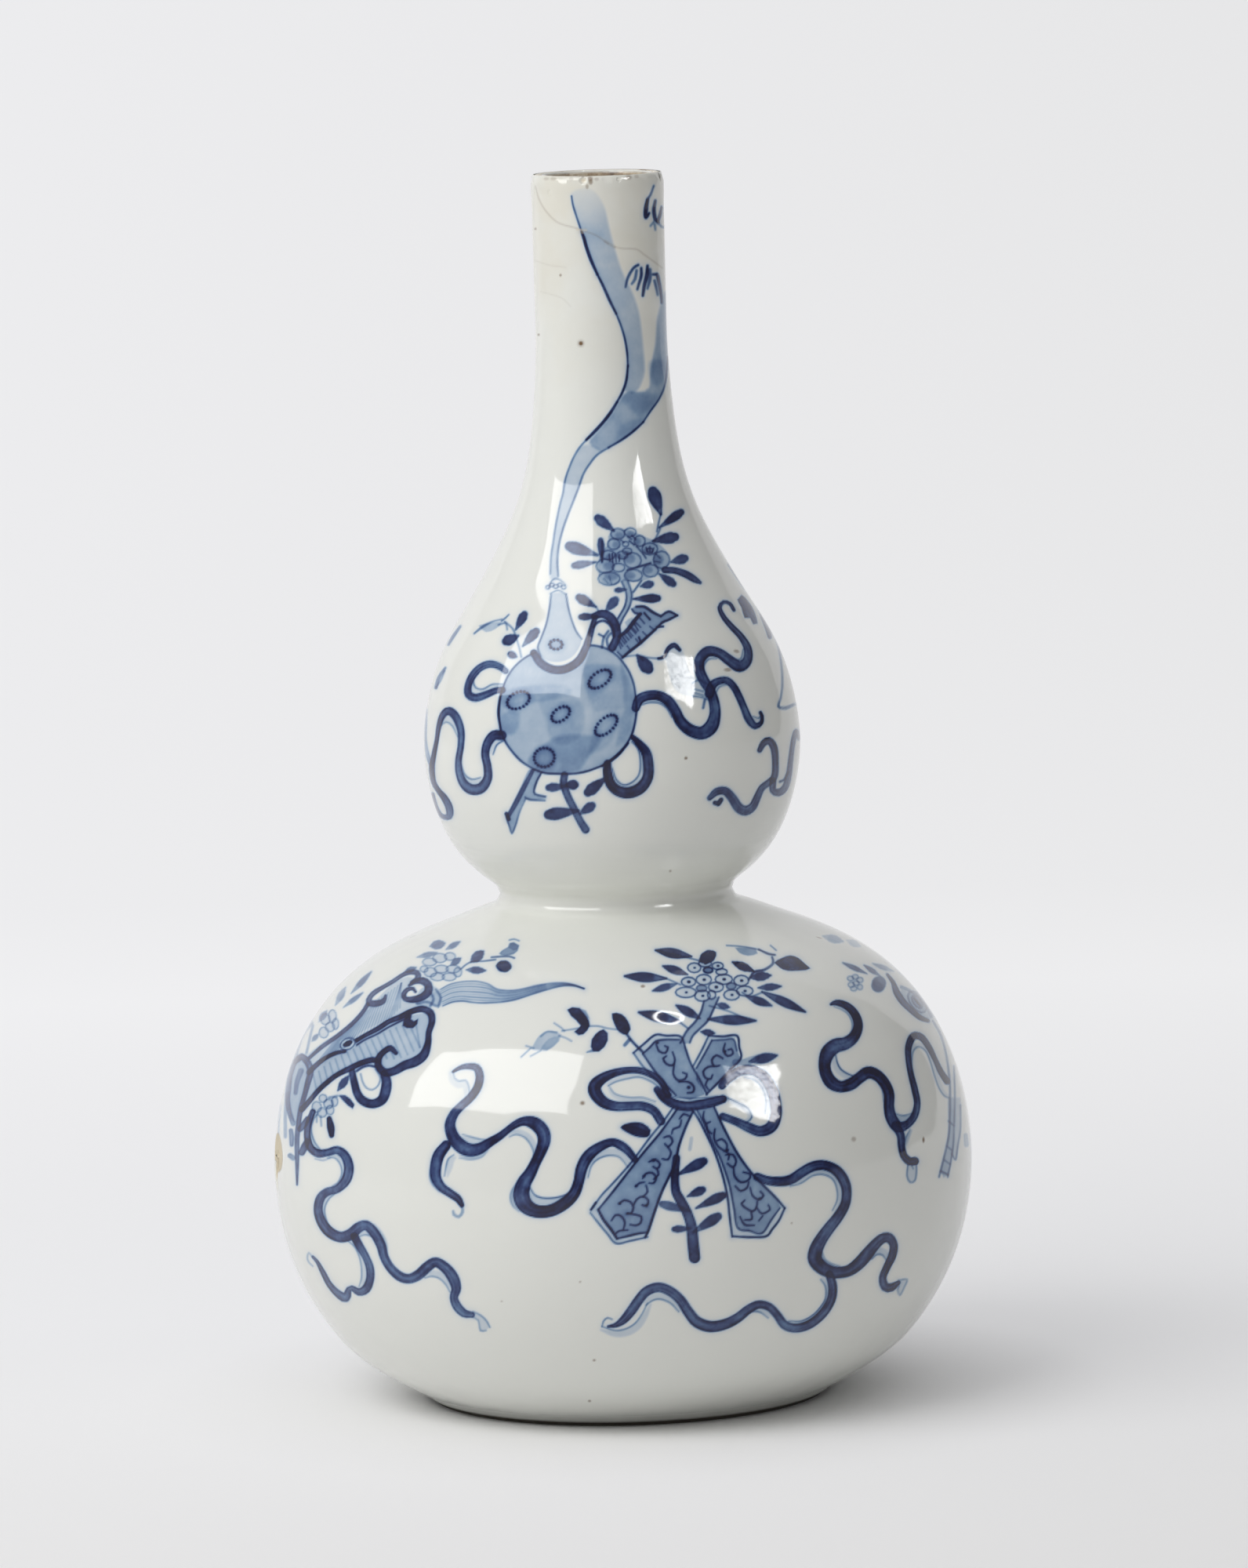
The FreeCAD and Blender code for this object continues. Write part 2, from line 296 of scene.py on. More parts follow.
def unevenness(size, seed, lattice=48):
    """Soft random patches of this size over the whole coat, from -1 to 1."""
    table = np.random.default_rng(seed).uniform(-1, 1, (lattice,) * 3)
    spot = surface / size + lattice * 10
    low = np.floor(spot).astype(int)
    share = spot - low
    share = share * share * (3 - 2 * share)
    total = 0
    for corner in np.ndindex(2, 2, 2):
        weight = np.prod(np.where(corner, share, 1 - share), axis=1)
        total = total + weight * table[tuple(((low + corner) % lattice).T)]
    return total


# the brush's load changes in broad and in small patches, and the cobalt itself is grainy
broad_share = 0.6
brush_load = (broad_share * unevenness(4.5 * mm, 1)
              + (1 - broad_share) * unevenness(1.6 * mm, 2))
grain = unevenness(0.5 * mm, 3)

# %% [markdown]
# A view holds the steps that a painter would see from one side, and the pixel of each. The
# front view is the picture itself. For the other sides the vase is turned on its axis.

# %% Turn the vase in front of the painter
class View:
    """Steps of the coat, with the pixel at which each one is painted."""

    def __init__(self, x, y, steps):
        self.x, self.y, self.steps = x, y, steps

    def near(self, path, margin):
        """The steps in the box round a path, so that only these are looked at."""
        low, high = path[:, :2].min(0) - margin, path[:, :2].max(0) + margin
        chosen = (self.x > low[0]) & (self.x < high[0]) & (self.y > low[1]) & (self.y < high[1])
        return self.x[chosen], self.y[chosen], self.steps[chosen]


front = View(seen_x, seen_y, seen_steps)


def turned(degrees, mirrored=False):
    """The coat as the camera would see it with this side of the vase turned to the front."""
    angle = every["turn"] - math.radians(degrees)
    angle = -angle if mirrored else angle
    steps = np.flatnonzero(facing_at(angle) > 0)
    return View(*in_picture(places_at(angle)[steps]), steps)


# %% [markdown]
# A stroke's points are joined by a smooth curve. Each step near it is then asked how deep
# it lies inside the stroke, and takes colour by that depth: full inside, a little more where
# the wet edge dried, and a faint halo outside, where the glaze drew the cobalt out.

# %% Lay one stroke
def rounded(points, closed=False, gap=3.0):
    """A Catmull-Rom curve through brush points. Each point is x, y and perhaps a width."""
    points = np.asarray(points, float)
    if closed:
        points = np.vstack([points[-1], points, points[:2]])
    else:
        points = np.vstack([2 * points[0] - points[1], points, 2 * points[-1] - points[-2]])
    parts = []
    for a, b, c, d in zip(points, points[1:], points[2:], points[3:]):
        count = max(1, int(np.hypot(*(c - b)[:2]) / gap))
        t = np.arange(count)[:, None] / count
        parts.append(b + 0.5 * t * ((c - a) + t * ((2 * a - 5 * b + 4 * c - d)
                                                   + t * (3 * b - a - 3 * c + d))))
    return np.vstack(parts + [points[-2:-1]])


far_off = 1e3  # pixels, more than any stroke is away


def depth_in_band(x, y, path):
    """How many pixels each step lies inside a band; path rows are x, y and width."""
    depth = np.full(len(x), -far_off)
    for (x0, y0, w0), (x1, y1, w1) in zip(path, path[1:]):
        dx, dy = x1 - x0, y1 - y0
        share = np.clip(((x - x0) * dx + (y - y0) * dy) / max(dx * dx + dy * dy, 1e-9), 0, 1)
        away = np.hypot(x - x0 - share * dx, y - y0 - share * dy)
        np.maximum(depth, (w0 + share * (w1 - w0)) / 2 - away, out=depth)
    return depth


def place_in_band(x, y, path):
    """How far along a band each step lies, and how far across it, from -1 to 1."""
    nearest, length = np.full(len(x), far_off), 0.0
    along, across = np.zeros((2, len(x)))
    for (x0, y0, w0), (x1, y1, w1) in zip(path, path[1:]):
        dx, dy = x1 - x0, y1 - y0
        size = max(math.hypot(dx, dy), 1e-6)
        share = np.clip(((x - x0) * dx + (y - y0) * dy) / size ** 2, 0, 1)
        away = np.hypot(x - x0 - share * dx, y - y0 - share * dy)
        side = np.sign((x - x0) * dy - (y - y0) * dx)
        closer = away < nearest
        nearest = np.where(closer, away, nearest)
        along = np.where(closer, length + share * size, along)
        across = np.where(closer, side * away / (0.5 * (w0 + share * (w1 - w0)) + 0.5), across)
        length += size
    return along, np.clip(across, -1, 1)


def depth_in_shape(x, y, corners):
    """How many pixels each step lies inside a closed shape."""
    depth = -depth_in_band(x, y, np.column_stack([np.vstack([corners, corners[:1]]),
                                                  np.zeros(len(corners) + 1)]))
    inside = np.zeros(len(x), bool)
    for (x0, y0), (x1, y1) in zip(corners, np.roll(corners, -1, axis=0)):
        if y0 != y1:
            crossed = ((y0 > y) != (y1 > y)) & (x < (x1 - x0) * (y - y0) / (y1 - y0) + x0)
            inside ^= crossed
    return np.where(inside, depth, -depth)


def lay(channel, steps, depth, tone, pooled=0.0, soft=soft_edge):
    """Adds one layer of colour: full inside, faded at the edge, darker where it pooled."""
    cover = np.clip(0.5 + depth / (2 * soft), 0, 1)
    cover = cover * cover * (3 - 2 * cover)
    if channel is cobalt:
        edge = np.exp(-np.maximum(depth, 0) / pool)
        cover *= (1 + pooled * (edge - 0.5) + brush_share * brush_load[steps]
                  + grain_share * grain[steps])
        cover += halo_share * tone * np.exp(np.minimum(depth, 0) / halo) * (depth < soft_edge)
    channel[steps] = 1 - (1 - channel[steps]) * (1 - np.clip(tone * cover, 0, 1))


# %% [markdown]
# Every kind of stroke on the vase has its own function: the plain band and line, the broad
# ribbon that shows the hairs of the brush, the thin wash, a leaf pressed with one touch, and
# small ones for petals and dots. Their tables say tone, width and points, in that order.

# %% The painter's strokes
halo_reach = 6  # pixels round a stroke that still take colour
wash_reach = 8
band_pool, ribbon_pool, wash_pool = 0.25, 0.3, 0.12  # how much darker the wet edge dries


def pairs(values):
    """Points, from numbers in a row: x, y, x, y."""
    return np.array(values, float).reshape(-1, 2)


def stroke_path(view, values):
    """The curve of a stroke given as width, x and y in turn, and the steps near it."""
    path = rounded(np.array(values, float).reshape(-1, 3)[:, (1, 2, 0)])
    return path, *view.near(path, path[:, 2].max() / 2 + halo_reach)


def band(view, tone, *values, channel=None, soft=soft_edge):
    """A brush stroke: its load, then width, x and y for each point."""
    path, x, y, steps = stroke_path(view, values)
    channel = cobalt if channel is None else channel
    lay(channel, steps, depth_in_band(x, y, path), tone, band_pool, soft)


hair_rows, hairs = 97, 8
hair_marks = np.random.default_rng(7).uniform(0, 1, (hair_rows, hairs))
hair_length = 42.0  # pixels before the brush hairs change their load
narrow_ribbon, ribbon_range, narrow_tone = 8, 6, 0.9  # narrow ribbons are painted paler
palest_hair, hair_range = 0.87, 0.30


def ribbon(view, tone, *values):
    """A broad stroke that shows the hairs of the brush and is fuller where it is wide."""
    path, x, y, steps = stroke_path(view, values)
    along, across = place_in_band(x, y, path)
    at = along / hair_length + sum(values[:3]) % 90  # no two ribbons start at the same hairs
    row, hair = at.astype(int), (across + 1) * (hairs - 1) / 2
    column = np.minimum(hair.astype(int), hairs - 2)
    low, high = (hair_marks[(row + i) % hair_rows, column] * (1 - hair + column)
                 + hair_marks[(row + i) % hair_rows, column + 1] * (hair - column)
                 for i in (0, 1))
    load = low + (at - row) * (high - low)
    wide = np.clip((np.median(path[:, 2]) - narrow_ribbon) / ribbon_range, 0, 1)
    fuller = narrow_tone + (1 - narrow_tone) * wide
    tones = tone * fuller * (palest_hair + hair_range * load)
    lay(cobalt, steps, depth_in_band(x, y, path), tones, ribbon_pool)


def lift(view, x0, y0, across, down):
    """Lifts colour off again in an oval, before a pale detail."""
    away = np.hypot((view.x - x0) / across, (view.y - y0) / down)
    inside = away < 1.3
    cobalt[view.steps[inside]] *= 1 - np.clip((1.15 - away[inside]) / 0.3, 0, 1)


def wipe(view, *values):
    """Wipes a closed shape clean before something is painted there."""
    corners = pairs(values)
    x, y, steps = view.near(corners, 2)
    cobalt[steps] *= 1 - np.clip(0.5 + depth_in_shape(x, y, corners), 0, 1)


line_end = 0.75  # of the line's width


def line(view, width, tone, *values, channel=None):
    """A stroke of one width, with slightly thinner ends."""
    points = pairs(values)
    widths = np.full(len(points), float(width))
    widths[[0, -1]] *= line_end
    band(view, tone, *np.column_stack([widths, points]).ravel(), channel=channel)


def wash(view, tone, *values, smooth=True, channel=None, soft=soft_edge):
    """A closed patch of thin colour."""
    corners = pairs(values)
    path = rounded(corners, closed=True, gap=5) if smooth else corners
    x, y, steps = view.near(path, wash_reach + soft)
    pooled = wash_pool if soft == soft_edge else 0.0
    channel = cobalt if channel is None else channel
    lay(channel, steps, depth_in_shape(x, y, path), tone, pooled, soft)


back_line, back_wash_share, back_soft = 1.7, 0.6, 2.2
back_taper = ((0, 0.3, 0.7, 1), (0.15, 1, 1, 0.15))  # along the wash, and its width there


def back_of_ribbon(view, wash_tone, line_tone, width, *values):
    """A ribbon's pale back: a thin line, with a wash on its right side, or left if minus."""
    points = pairs(values)
    if wash_tone:
        way = np.gradient(points, axis=0)
        way /= np.linalg.norm(way, axis=1)[:, None]
        middle = points + np.column_stack([-way[:, 1], way[:, 0]]) * width / 2
        widths = abs(width) * np.interp(np.linspace(0, 1, len(points)), *back_taper)
        rows = np.column_stack([widths, middle]).ravel()
        band(view, wash_tone * back_wash_share, *rows, soft=back_soft)
    line(view, back_line, line_tone, *values)


# where along a leaf, and how wide it is there as a share of its full width
pointed = ((0.0, 0.18), (0.2, 0.6), (0.4, 0.95), (0.6, 1.0), (0.8, 0.66), (1.0, 0.16))
rounded_tip = ((0.0, 0.2), (0.2, 0.42), (0.4, 0.68), (0.6, 0.9), (0.8, 1.0), (1.0, 0.72))
pressed_wider, first_touch, second_touch = 1.12, 0.82, 0.6
second_width, second_soft = 0.86, 2.6


def leaf(view, tone, width, x0, y0, x1, y1, shape=pointed):
    """A leaf pressed with one touch from the stem, and its outer half pressed again."""
    shares, widths = np.array(shape).T
    width = width * pressed_wider
    reach = 1 - width * shape[-1][1] / 2 / max(math.hypot(x1 - x0, y1 - y0), width)
    at = shares * reach
    rows = np.column_stack([widths * width, x0 + at * (x1 - x0), y0 + at * (y1 - y0)])
    band(view, tone * first_touch, *rows.ravel())
    outer_half = rows[2:] * (second_width, 1, 1)
    band(view, tone * second_touch, *outer_half.ravel(), soft=second_soft)


def touch(view, tone, width, x0, y0, x1, y1):
    """A leaf with a full round tip."""
    leaf(view, tone, width, x0, y0, x1, y1, rounded_tip)


def points_round(x0, y0, across, down, turn_degrees, count):
    """Points in even steps round an oval that is turned by some degrees."""
    angles = np.linspace(0, 2 * math.pi, count, endpoint=False)
    lean = math.radians(turn_degrees)
    a, b = across * np.cos(angles), down * np.sin(angles)
    return np.column_stack([x0 + a * math.cos(lean) - b * math.sin(lean),
                            y0 + a * math.sin(lean) + b * math.cos(lean)])


def oval(view, x0, y0, across, down, tone=0.8, width=2.0, fill=0.3, turn_degrees=0.0):
    """A petal or ring: an oval line round a thin wash."""
    ring = points_round(x0, y0, across, down, turn_degrees, 12)
    if fill:
        wash(view, fill, *ring.ravel())
    line(view, width, tone, *np.vstack([ring, ring[:1]]).ravel())


inner_shift, inner_size, inner_tone, inner_soft = 0.4, 0.62, 0.36, 2.5


def petal(view, x0, y0, across, down, base_degrees):
    """A petal: pale at its rim and darker towards the flower's middle."""
    base = math.radians(base_degrees)
    oval(view, x0, y0, across, down, tone=0.6, width=1.6, fill=0.06)
    inner = points_round(x0 + inner_shift * across * math.cos(base),
                         y0 + inner_shift * down * math.sin(base),
                         inner_size * across, inner_size * down, 0, 9)
    wash(view, inner_tone, *inner.ravel(), soft=inner_soft)


def dots(view, x0, y0, across, down, turn_degrees, count, size=3.0, tone=1.0):
    """A ring of small touches of the brush."""
    for x1, y1 in points_round(x0, y0, across, down, turn_degrees, count):
        band(view, tone, size, x1, y1, size * 0.8, x1 + 0.8, y1 + 0.6)


def each(stroke, view, rows, **settings):
    """The same kind of stroke for every row of a table."""
    for row in rows:
        stroke(view, *row, **settings)


print("brush load from", brush_load.min().round(2), "to", brush_load.max().round(2))
# %% [markdown]
# The neck carries the vapour that rises from the gourd, and two small flights of strokes.

# %% Neck painting
neck_fills = [
    (0.27, 729,246, 745,240, 758,244, 770,262, 777,290, 785,320, 795,350, 806,372, 814,395, 818,420,
     821,450, 822,475, 815,495, 806,502, 797,498, 800,470, 800,450, 797,432, 792,415, 786,400,
     778,384, 770,366, 762,350, 754,332, 748,315, 744,300, 740,290, 735,275, 731,262),
    (0.36, 840,400, 843,388, 848,372, 853,372, 853,420, 852,460, 847,495, 840,510, 830,524, 820,539,
     808,550, 793,561, 776,571, 768,576, 752,565, 762,551, 779,530, 790,512, 800,500, 815,500,
     828,495, 830,470, 836,440, 838,410),
    (0.20, 756,568, 768,576, 762,580, 752,592, 744,605, 738,622, 731,640, 725,655, 718,675, 713,695,
     711,715, 712,738, 702,738, 703,710, 706,690, 709,670, 714,645, 718,630, 721,612, 726,597,
     732,583, 740,570),
    (0.2, 829,462, 846,460, 848,480, 838,492, 830,482),
    (0.16, 792,505, 822,502, 838,506, 826,524, 812,530, 800,518),
    (0.14, 786,560, 800,536, 818,536, 806,549),
]
neck_lines = [
    (2, 0.7, 729,250, 731,262, 735,275, 740,290, 742,296),
    (3.8, 0.95, 742,296, 745,304, 748,315, 754,332, 762,350),
    (3.2, 0.9, 762,350, 770,366, 778,384, 786,400),
    (2.4, 0.75, 786,400, 792,415, 797,432, 800,450, 801,468),
    (2.8, 0.85, 801,466, 799,485, 794,500, 787,513),
    (3.6, 0.9, 787,513, 779,526, 769,539, 758,551, 748,561),
    (2.2, 0.5, 752,557, 740,570, 732,583, 726,597, 721,612, 718,630, 714,645, 709,670, 706,690,
     703,710, 702,732),
    (2, 0.7, 852,455, 850,480, 847,495, 840,510, 830,524, 820,539),
    (2.6, 0.8, 821,538, 808,550, 793,561, 776,571),
    (2.4, 0.55, 778,570, 762,580, 752,592, 744,605, 738,622, 731,640, 725,655, 718,675, 713,695,
     711,715, 712,735),
]

# two flights of wet strokes beside the vapour
neck_flights = [
    (0.75, 2, 798,366, 3, 801,354, 3, 808,342, 3, 814,338),
    (0.6, 3, 812,345, 3.5, 810,356, 2.5, 806,362),
    (0.75, 3, 818,342, 3.5, 818,352, 3, 815,362, 2.5, 813,369),
    (0.8, 3, 826,339, 4.5, 825,352, 4, 822,364, 3, 820,377),
    (0.6, 4, 829,344, 4, 829,356, 2.5, 826,368),
    (0.8, 2.5, 833,350, 4, 838,350, 4, 841,362, 3.5, 843,374, 2.5, 844,386),
    (0.6, 3, 835,358, 3, 838,370, 2.5, 839,376), (0.65, 2, 834,237, 2.5, 830,248, 2.5, 826,254),
    (0.95, 3.5, 826,255, 5, 824,266, 4.5, 824,277, 2.5, 828,272),
    (0.85, 3, 836,256, 4, 834,268, 4, 836,280, 2.5, 840,284),
    (0.85, 2.5, 844,264, 3.5, 842,274, 3.5, 839,282), (0.5, 2.5, 838,283, 2.5, 844,289, 2, 850,291),
    (0.5, 2, 834,283, 2.5, 830,288), (0.5, 2.5, 835,286, 2, 836,293),
]

# %% [markdown]
# The front of the upper bulb shows a gourd tied with a ribbon, a traditional lucky emblem,
# with a flower spray behind it and the ribbon's long ends on both sides.

# %% Gourd on the upper bulb
gourd_outline = (
    750,823, 762,824, 775,828, 787,836, 797,848, 804,860, 809,875, 811,890, 812,905, 810,922,
    806,937, 799,950, 790,961, 778,971, 765,979, 748,984, 730,987, 712,987, 695,986, 680,981,
    665,971, 652,957, 643,943, 638,928, 636,912, 637,896, 640,882, 646,866, 655,852, 668,840,
    683,832, 700,846, 718,850, 738,840)
gourd_neck = (
    703,758, 701,775, 697,795, 691,812, 686,826, 690,837, 700,843, 715,844, 728,839, 737,829,
    742,815, 735,805, 729,790, 725,775, 722,758)
gourd_fills = [(0.29,) + gourd_outline, (0.2,) + gourd_neck]
# where the brush went over the gourd again
gourd_streaks = [
    (0.24, 718,938, 765,941, 753,962, 733,985, 692,984, 673,971, 694,950),
    (0.20, 792,846, 803,868, 808,892, 806,925, 797,945, 786,952, 790,925, 797,900, 795,872),
    (0.16, 745,850, 790,850, 799,880, 796,902, 775,905, 757,905, 748,880),
    (0.13, 690,890, 725,885, 745,905, 741,936, 722,950, 704,944, 694,915),
    (0.18, 650,906, 663,910, 661,928, 652,938, 642,932, 639,915),
    (0.16, 642,882, 690,873, 722,875, 728,885, 700,893, 665,899, 643,902),
    (0.14, 760,930, 786,912, 783,940, 768,956, 752,960), (0.14, 684,955, 706,955, 708,976, 686,977),
]
gourd_lines = [
    (2.2, 0.75, 750,823, 762,824, 775,828, 787,836, 797,848, 804,860, 809,875, 811,890),
    (2.5, 0.85, 811,888, 812,905, 810,922, 806,937, 799,950),
    (3.6, 0.95, 801,948, 790,961, 778,971, 768,977),
    (2.3, 0.8, 770,976, 748,984, 730,987, 712,987, 695,986, 680,981),
    (2.2, 0.75, 682,982, 665,971, 652,957, 643,943, 638,928),
    (2.8, 0.95, 639,932, 636,912, 637,896, 640,880),
    (2.0, 0.7, 640,882, 646,866, 655,852, 668,840, 683,832), (2.0, 0.6) + gourd_neck[:12],
    (2.0, 0.6, 742,815, 735,805, 729,790, 725,775, 722,758), (1.6, 0.5, 702,757, 712,753, 722,758),
    (1.6, 0.5, 700,750, 703,742, 708,738, 715,740, 721,746),
]
gourd_bands = [
    (0.85, 9, 681,833, 10, 690,846, 10, 705,854, 10, 722,853, 10, 738,843, 9, 747,827, 8, 752,812,
     6, 757,795, 5, 760,787),
    (0.95, 8, 758,786, 10, 768,783, 11, 778,787, 11, 785,798, 10, 787,812, 10, 781,826),
    (0.8, 3, 757,800, 3, 762,794, 3, 771,792, 4, 780,799, 4, 783,811),
    (0.7, 2.5, 757,788, 2.5, 753,802, 2.5, 750,822), (0.6, 3, 768,826, 3, 770,814, 3, 776,805),
    (0.6, 3, 776,826, 3, 774,815, 3, 779,808), (0.75, 2.2, 764,809, 2.2, 770,812),
]
# dotted ovals: centre, half lengths, turn in degrees, number of dots
gourd_ovals = [
    (661,893, 15,10, -25, 18), (715,911, 13,8, -35, 15), (765,866, 16,9, -35, 18),
    (773,925, 17,9, -42, 19), (694,966, 13,12, -15, 18), (709,822, 8,6, 0, 10),
]
gourd_collar = [
    (699,749, 2.6,2.2), (704,746, 2.6,2.2), (709,748, 3,2.4), (714,746, 2.6,2.2),
    (719,749, 2.6,2.4),
]

# %% Flower spray and rootlet by the gourd
# petals: middle, half sizes, and the way to the flower's middle in degrees
upper_petals = [
    (788,681, 9,7, 50), (804,679, 7.5,5.5, 90), (816,690, 7,7, 170), (783,694, 8,7, 20),
    (829,700, 10,7.5, 120), (776,708, 8.5,6, 60), (844,714, 10.5,11, 180), (807,715, 11,10, 215),
    (772,722, 11.5,9, 0), (777,738, 14,8.5, 300), (808,734, 11.5,7.5, 180), (830,728, 10,8, 200),
    (794,708, 7,5, 120), (800,703, 6,4, 90),
]
upper_eyes = [(798,694, 4,3.2), (789,724, 8,5.4), (829,702, 4,3)]
petal_strokes = [
    (2, 0.8, 801,685, 806,688), (2, 0.8, 806,683, 811,688), (2.4, 0.8, 803,690, 809,695),
    (2, 0.7, 792,689, 796,692), (1.6, 0.8, 777,707, 778,716), (1.6, 0.8, 781,706, 782,717),
    (1.6, 0.8, 785,706, 786,717), (1.8, 0.8, 790,707, 790,716), (1.5, 0.7, 824,698, 826,704),
    (1.5, 0.7, 829,697, 829,704), (1.5, 0.7, 834,699, 832,705), (2, 0.8, 768,690, 768,717),
    (2.4, 0.8, 800,727, 818,722, 830,718), (1.8, 0.6, 836,706, 842,712),
    (1.8, 0.6, 835,716, 842,717), (1.5, 0.5, 770,738, 776,744), (1.5, 0.5, 777,735, 780,745),
    (2, 0.7, 812,697, 820,706, 824,712),
]
upper_leaves = [
    (0.9, 12, 783,677, 759,658), (0.8, 8, 768,717, 766,686), (1.0, 15, 843,656, 831,621),
    (0.95, 10, 841,673, 872,651), (1.0, 13, 833,690, 866,684), (0.9, 11, 856,717, 878,711),
    (0.85, 10, 841,732, 862,747), (0.85, 9, 817,748, 834,744), (1.0, 10, 808,764, 843,763),
    (0.8, 6, 799,752, 784,753), (0.8, 11, 773,779, 788,762), (0.95, 11, 760,774, 735,760),
    (0.85, 14, 762,708, 721,695), (0.8, 9, 760,717, 729,722), (0.9, 8, 762,786, 738,787),
    (0.85, 10, 658,803, 671,780), (0.95, 12, 661,811, 641,820), (0.9, 8, 659,838, 648,833),
    (0.85, 11, 667,824, 687,802), (1.0, 15, 813,836, 831,858),
]
upper_spray_bands = [
    (0.9, 8, 848,727, 8, 862,728, 9, 876,733, 8, 886,739, 4, 893,743),
    (0.35, 7, 797,742, 7, 802,756, 7, 800,772, 7, 792,788, 6, 786,803),
    (0.65, 2, 793,742, 2, 799,758, 2, 797,773, 2, 788,789),
    (0.65, 2, 801,741, 2.2, 806,758, 2.2, 803,774, 2, 794,790, 2, 789,803),
    (0.65, 2.5, 818,741, 2.5, 808,755), (0.6, 2, 838,678, 2, 840,668, 2, 843,655),
    (0.5, 2.5, 835,690, 2.5, 842,675), (0.5, 2, 794,838, 2, 812,836, 2, 828,839, 2, 842,840),
    (0.6, 2, 816,838, 2, 820,842),
    (0.95, 3, 840,840, 4, 847,838, 5, 852,828, 6, 860,823, 4, 867,829),
    (0.45, 2, 761,775, 2, 765,782),
    (0.5, 2, 665,838, 2, 662,825, 2, 658,812, 2, 654,802, 2, 644,793),
    (0.5, 2, 640,792, 2, 645,788, 1.5, 649,784), (0.45, 2, 636,797, 2, 645,795, 2, 647,803),
    (0.5, 2, 605,808, 3, 615,800, 2, 628,793, 1.5, 640,790), (0.6, 3, 897,903, 3, 899,893),
    (0.5, 2, 884,888, 2, 897,890, 2, 904,893), (0.5, 2, 884,871, 2, 892,867, 2, 900,872),
    (0.45, 1.8, 887,884, 1.8, 897,887), (0.45, 1.8, 886,879, 1.8, 897,882),
]
rootlet = (
    782,829, 788,812, 800,802, 808,791, 813,783, 806,777, 811,772, 823,773, 833,780, 843,785,
    853,780, 864,784, 856,790, 845,794, 836,803, 826,812, 816,821, 802,832, 794,840, 788,833)
upper_spray_fills = [
    (0.3, 781,677, 800,675, 812,680, 820,684, 838,692, 852,706, 853,720, 840,730, 828,738, 812,742,
     793,741, 786,746, 770,744, 764,734, 763,718, 769,702, 776,694, 776,684),
    (0.46,) + rootlet, (0.28, 611,798, 620,806, 632,802, 640,794, 630,794, 620,795),
    (0.11, 850,832, 861,822, 872,833, 882,862, 899,868, 903,890, 892,888, 878,888, 862,880,
     853,858),
    (0.8, 941,765, 946,759, 955,768, 962,780, 966,795, 961,796, 957,788, 950,788, 946,775),
    (0.25, 806,788, 812,796, 801,801, 797,794),
]
rootlet_lines = [
    (4.5, 0.95, 790,812, 800,804, 809,792, 817,783), (3.2, 0.9, 812,774, 822,774, 833,781, 843,786),
    (2.6, 0.9, 843,786, 853,780, 864,785), (2.6, 0.95, 864,785, 852,791, 845,794, 836,803),
    (3.2, 1.0, 836,803, 826,812, 816,821, 802,832, 794,839), (3, 0.9, 838,800, 846,799),
    (3, 0.9, 815,813, 818,820), (2.4, 0.8, 806,777, 810,782, 818,783), (3.0, 0.9, 822,782, 829,790),
    (2.0, 0.8, 794,838, 788,832), (1.8, 0.7, 806,800, 812,806), (1.8, 0.7, 801,804, 807,811),
    (1.8, 0.7, 796,809, 802,816), (1.8, 0.7, 791,813, 797,821), (1.8, 0.7, 788,818, 792,827),
    (1.8, 0.7, 811,794, 817,800), (1.8, 0.7, 816,788, 822,795), (2, 0.75, 803,799, 811,808),
    (2, 0.75, 798,804, 805,813), (2, 0.75, 793,810, 799,819), (2, 0.75, 808,794, 814,804),
    (2, 0.75, 789,816, 794,824), (1.8, 0.7, 834,803, 829,799), (1.8, 0.7, 825,811, 820,806),
    (1.8, 0.7, 815,820, 811,815), (1.8, 0.7, 804,829, 800,824),
]

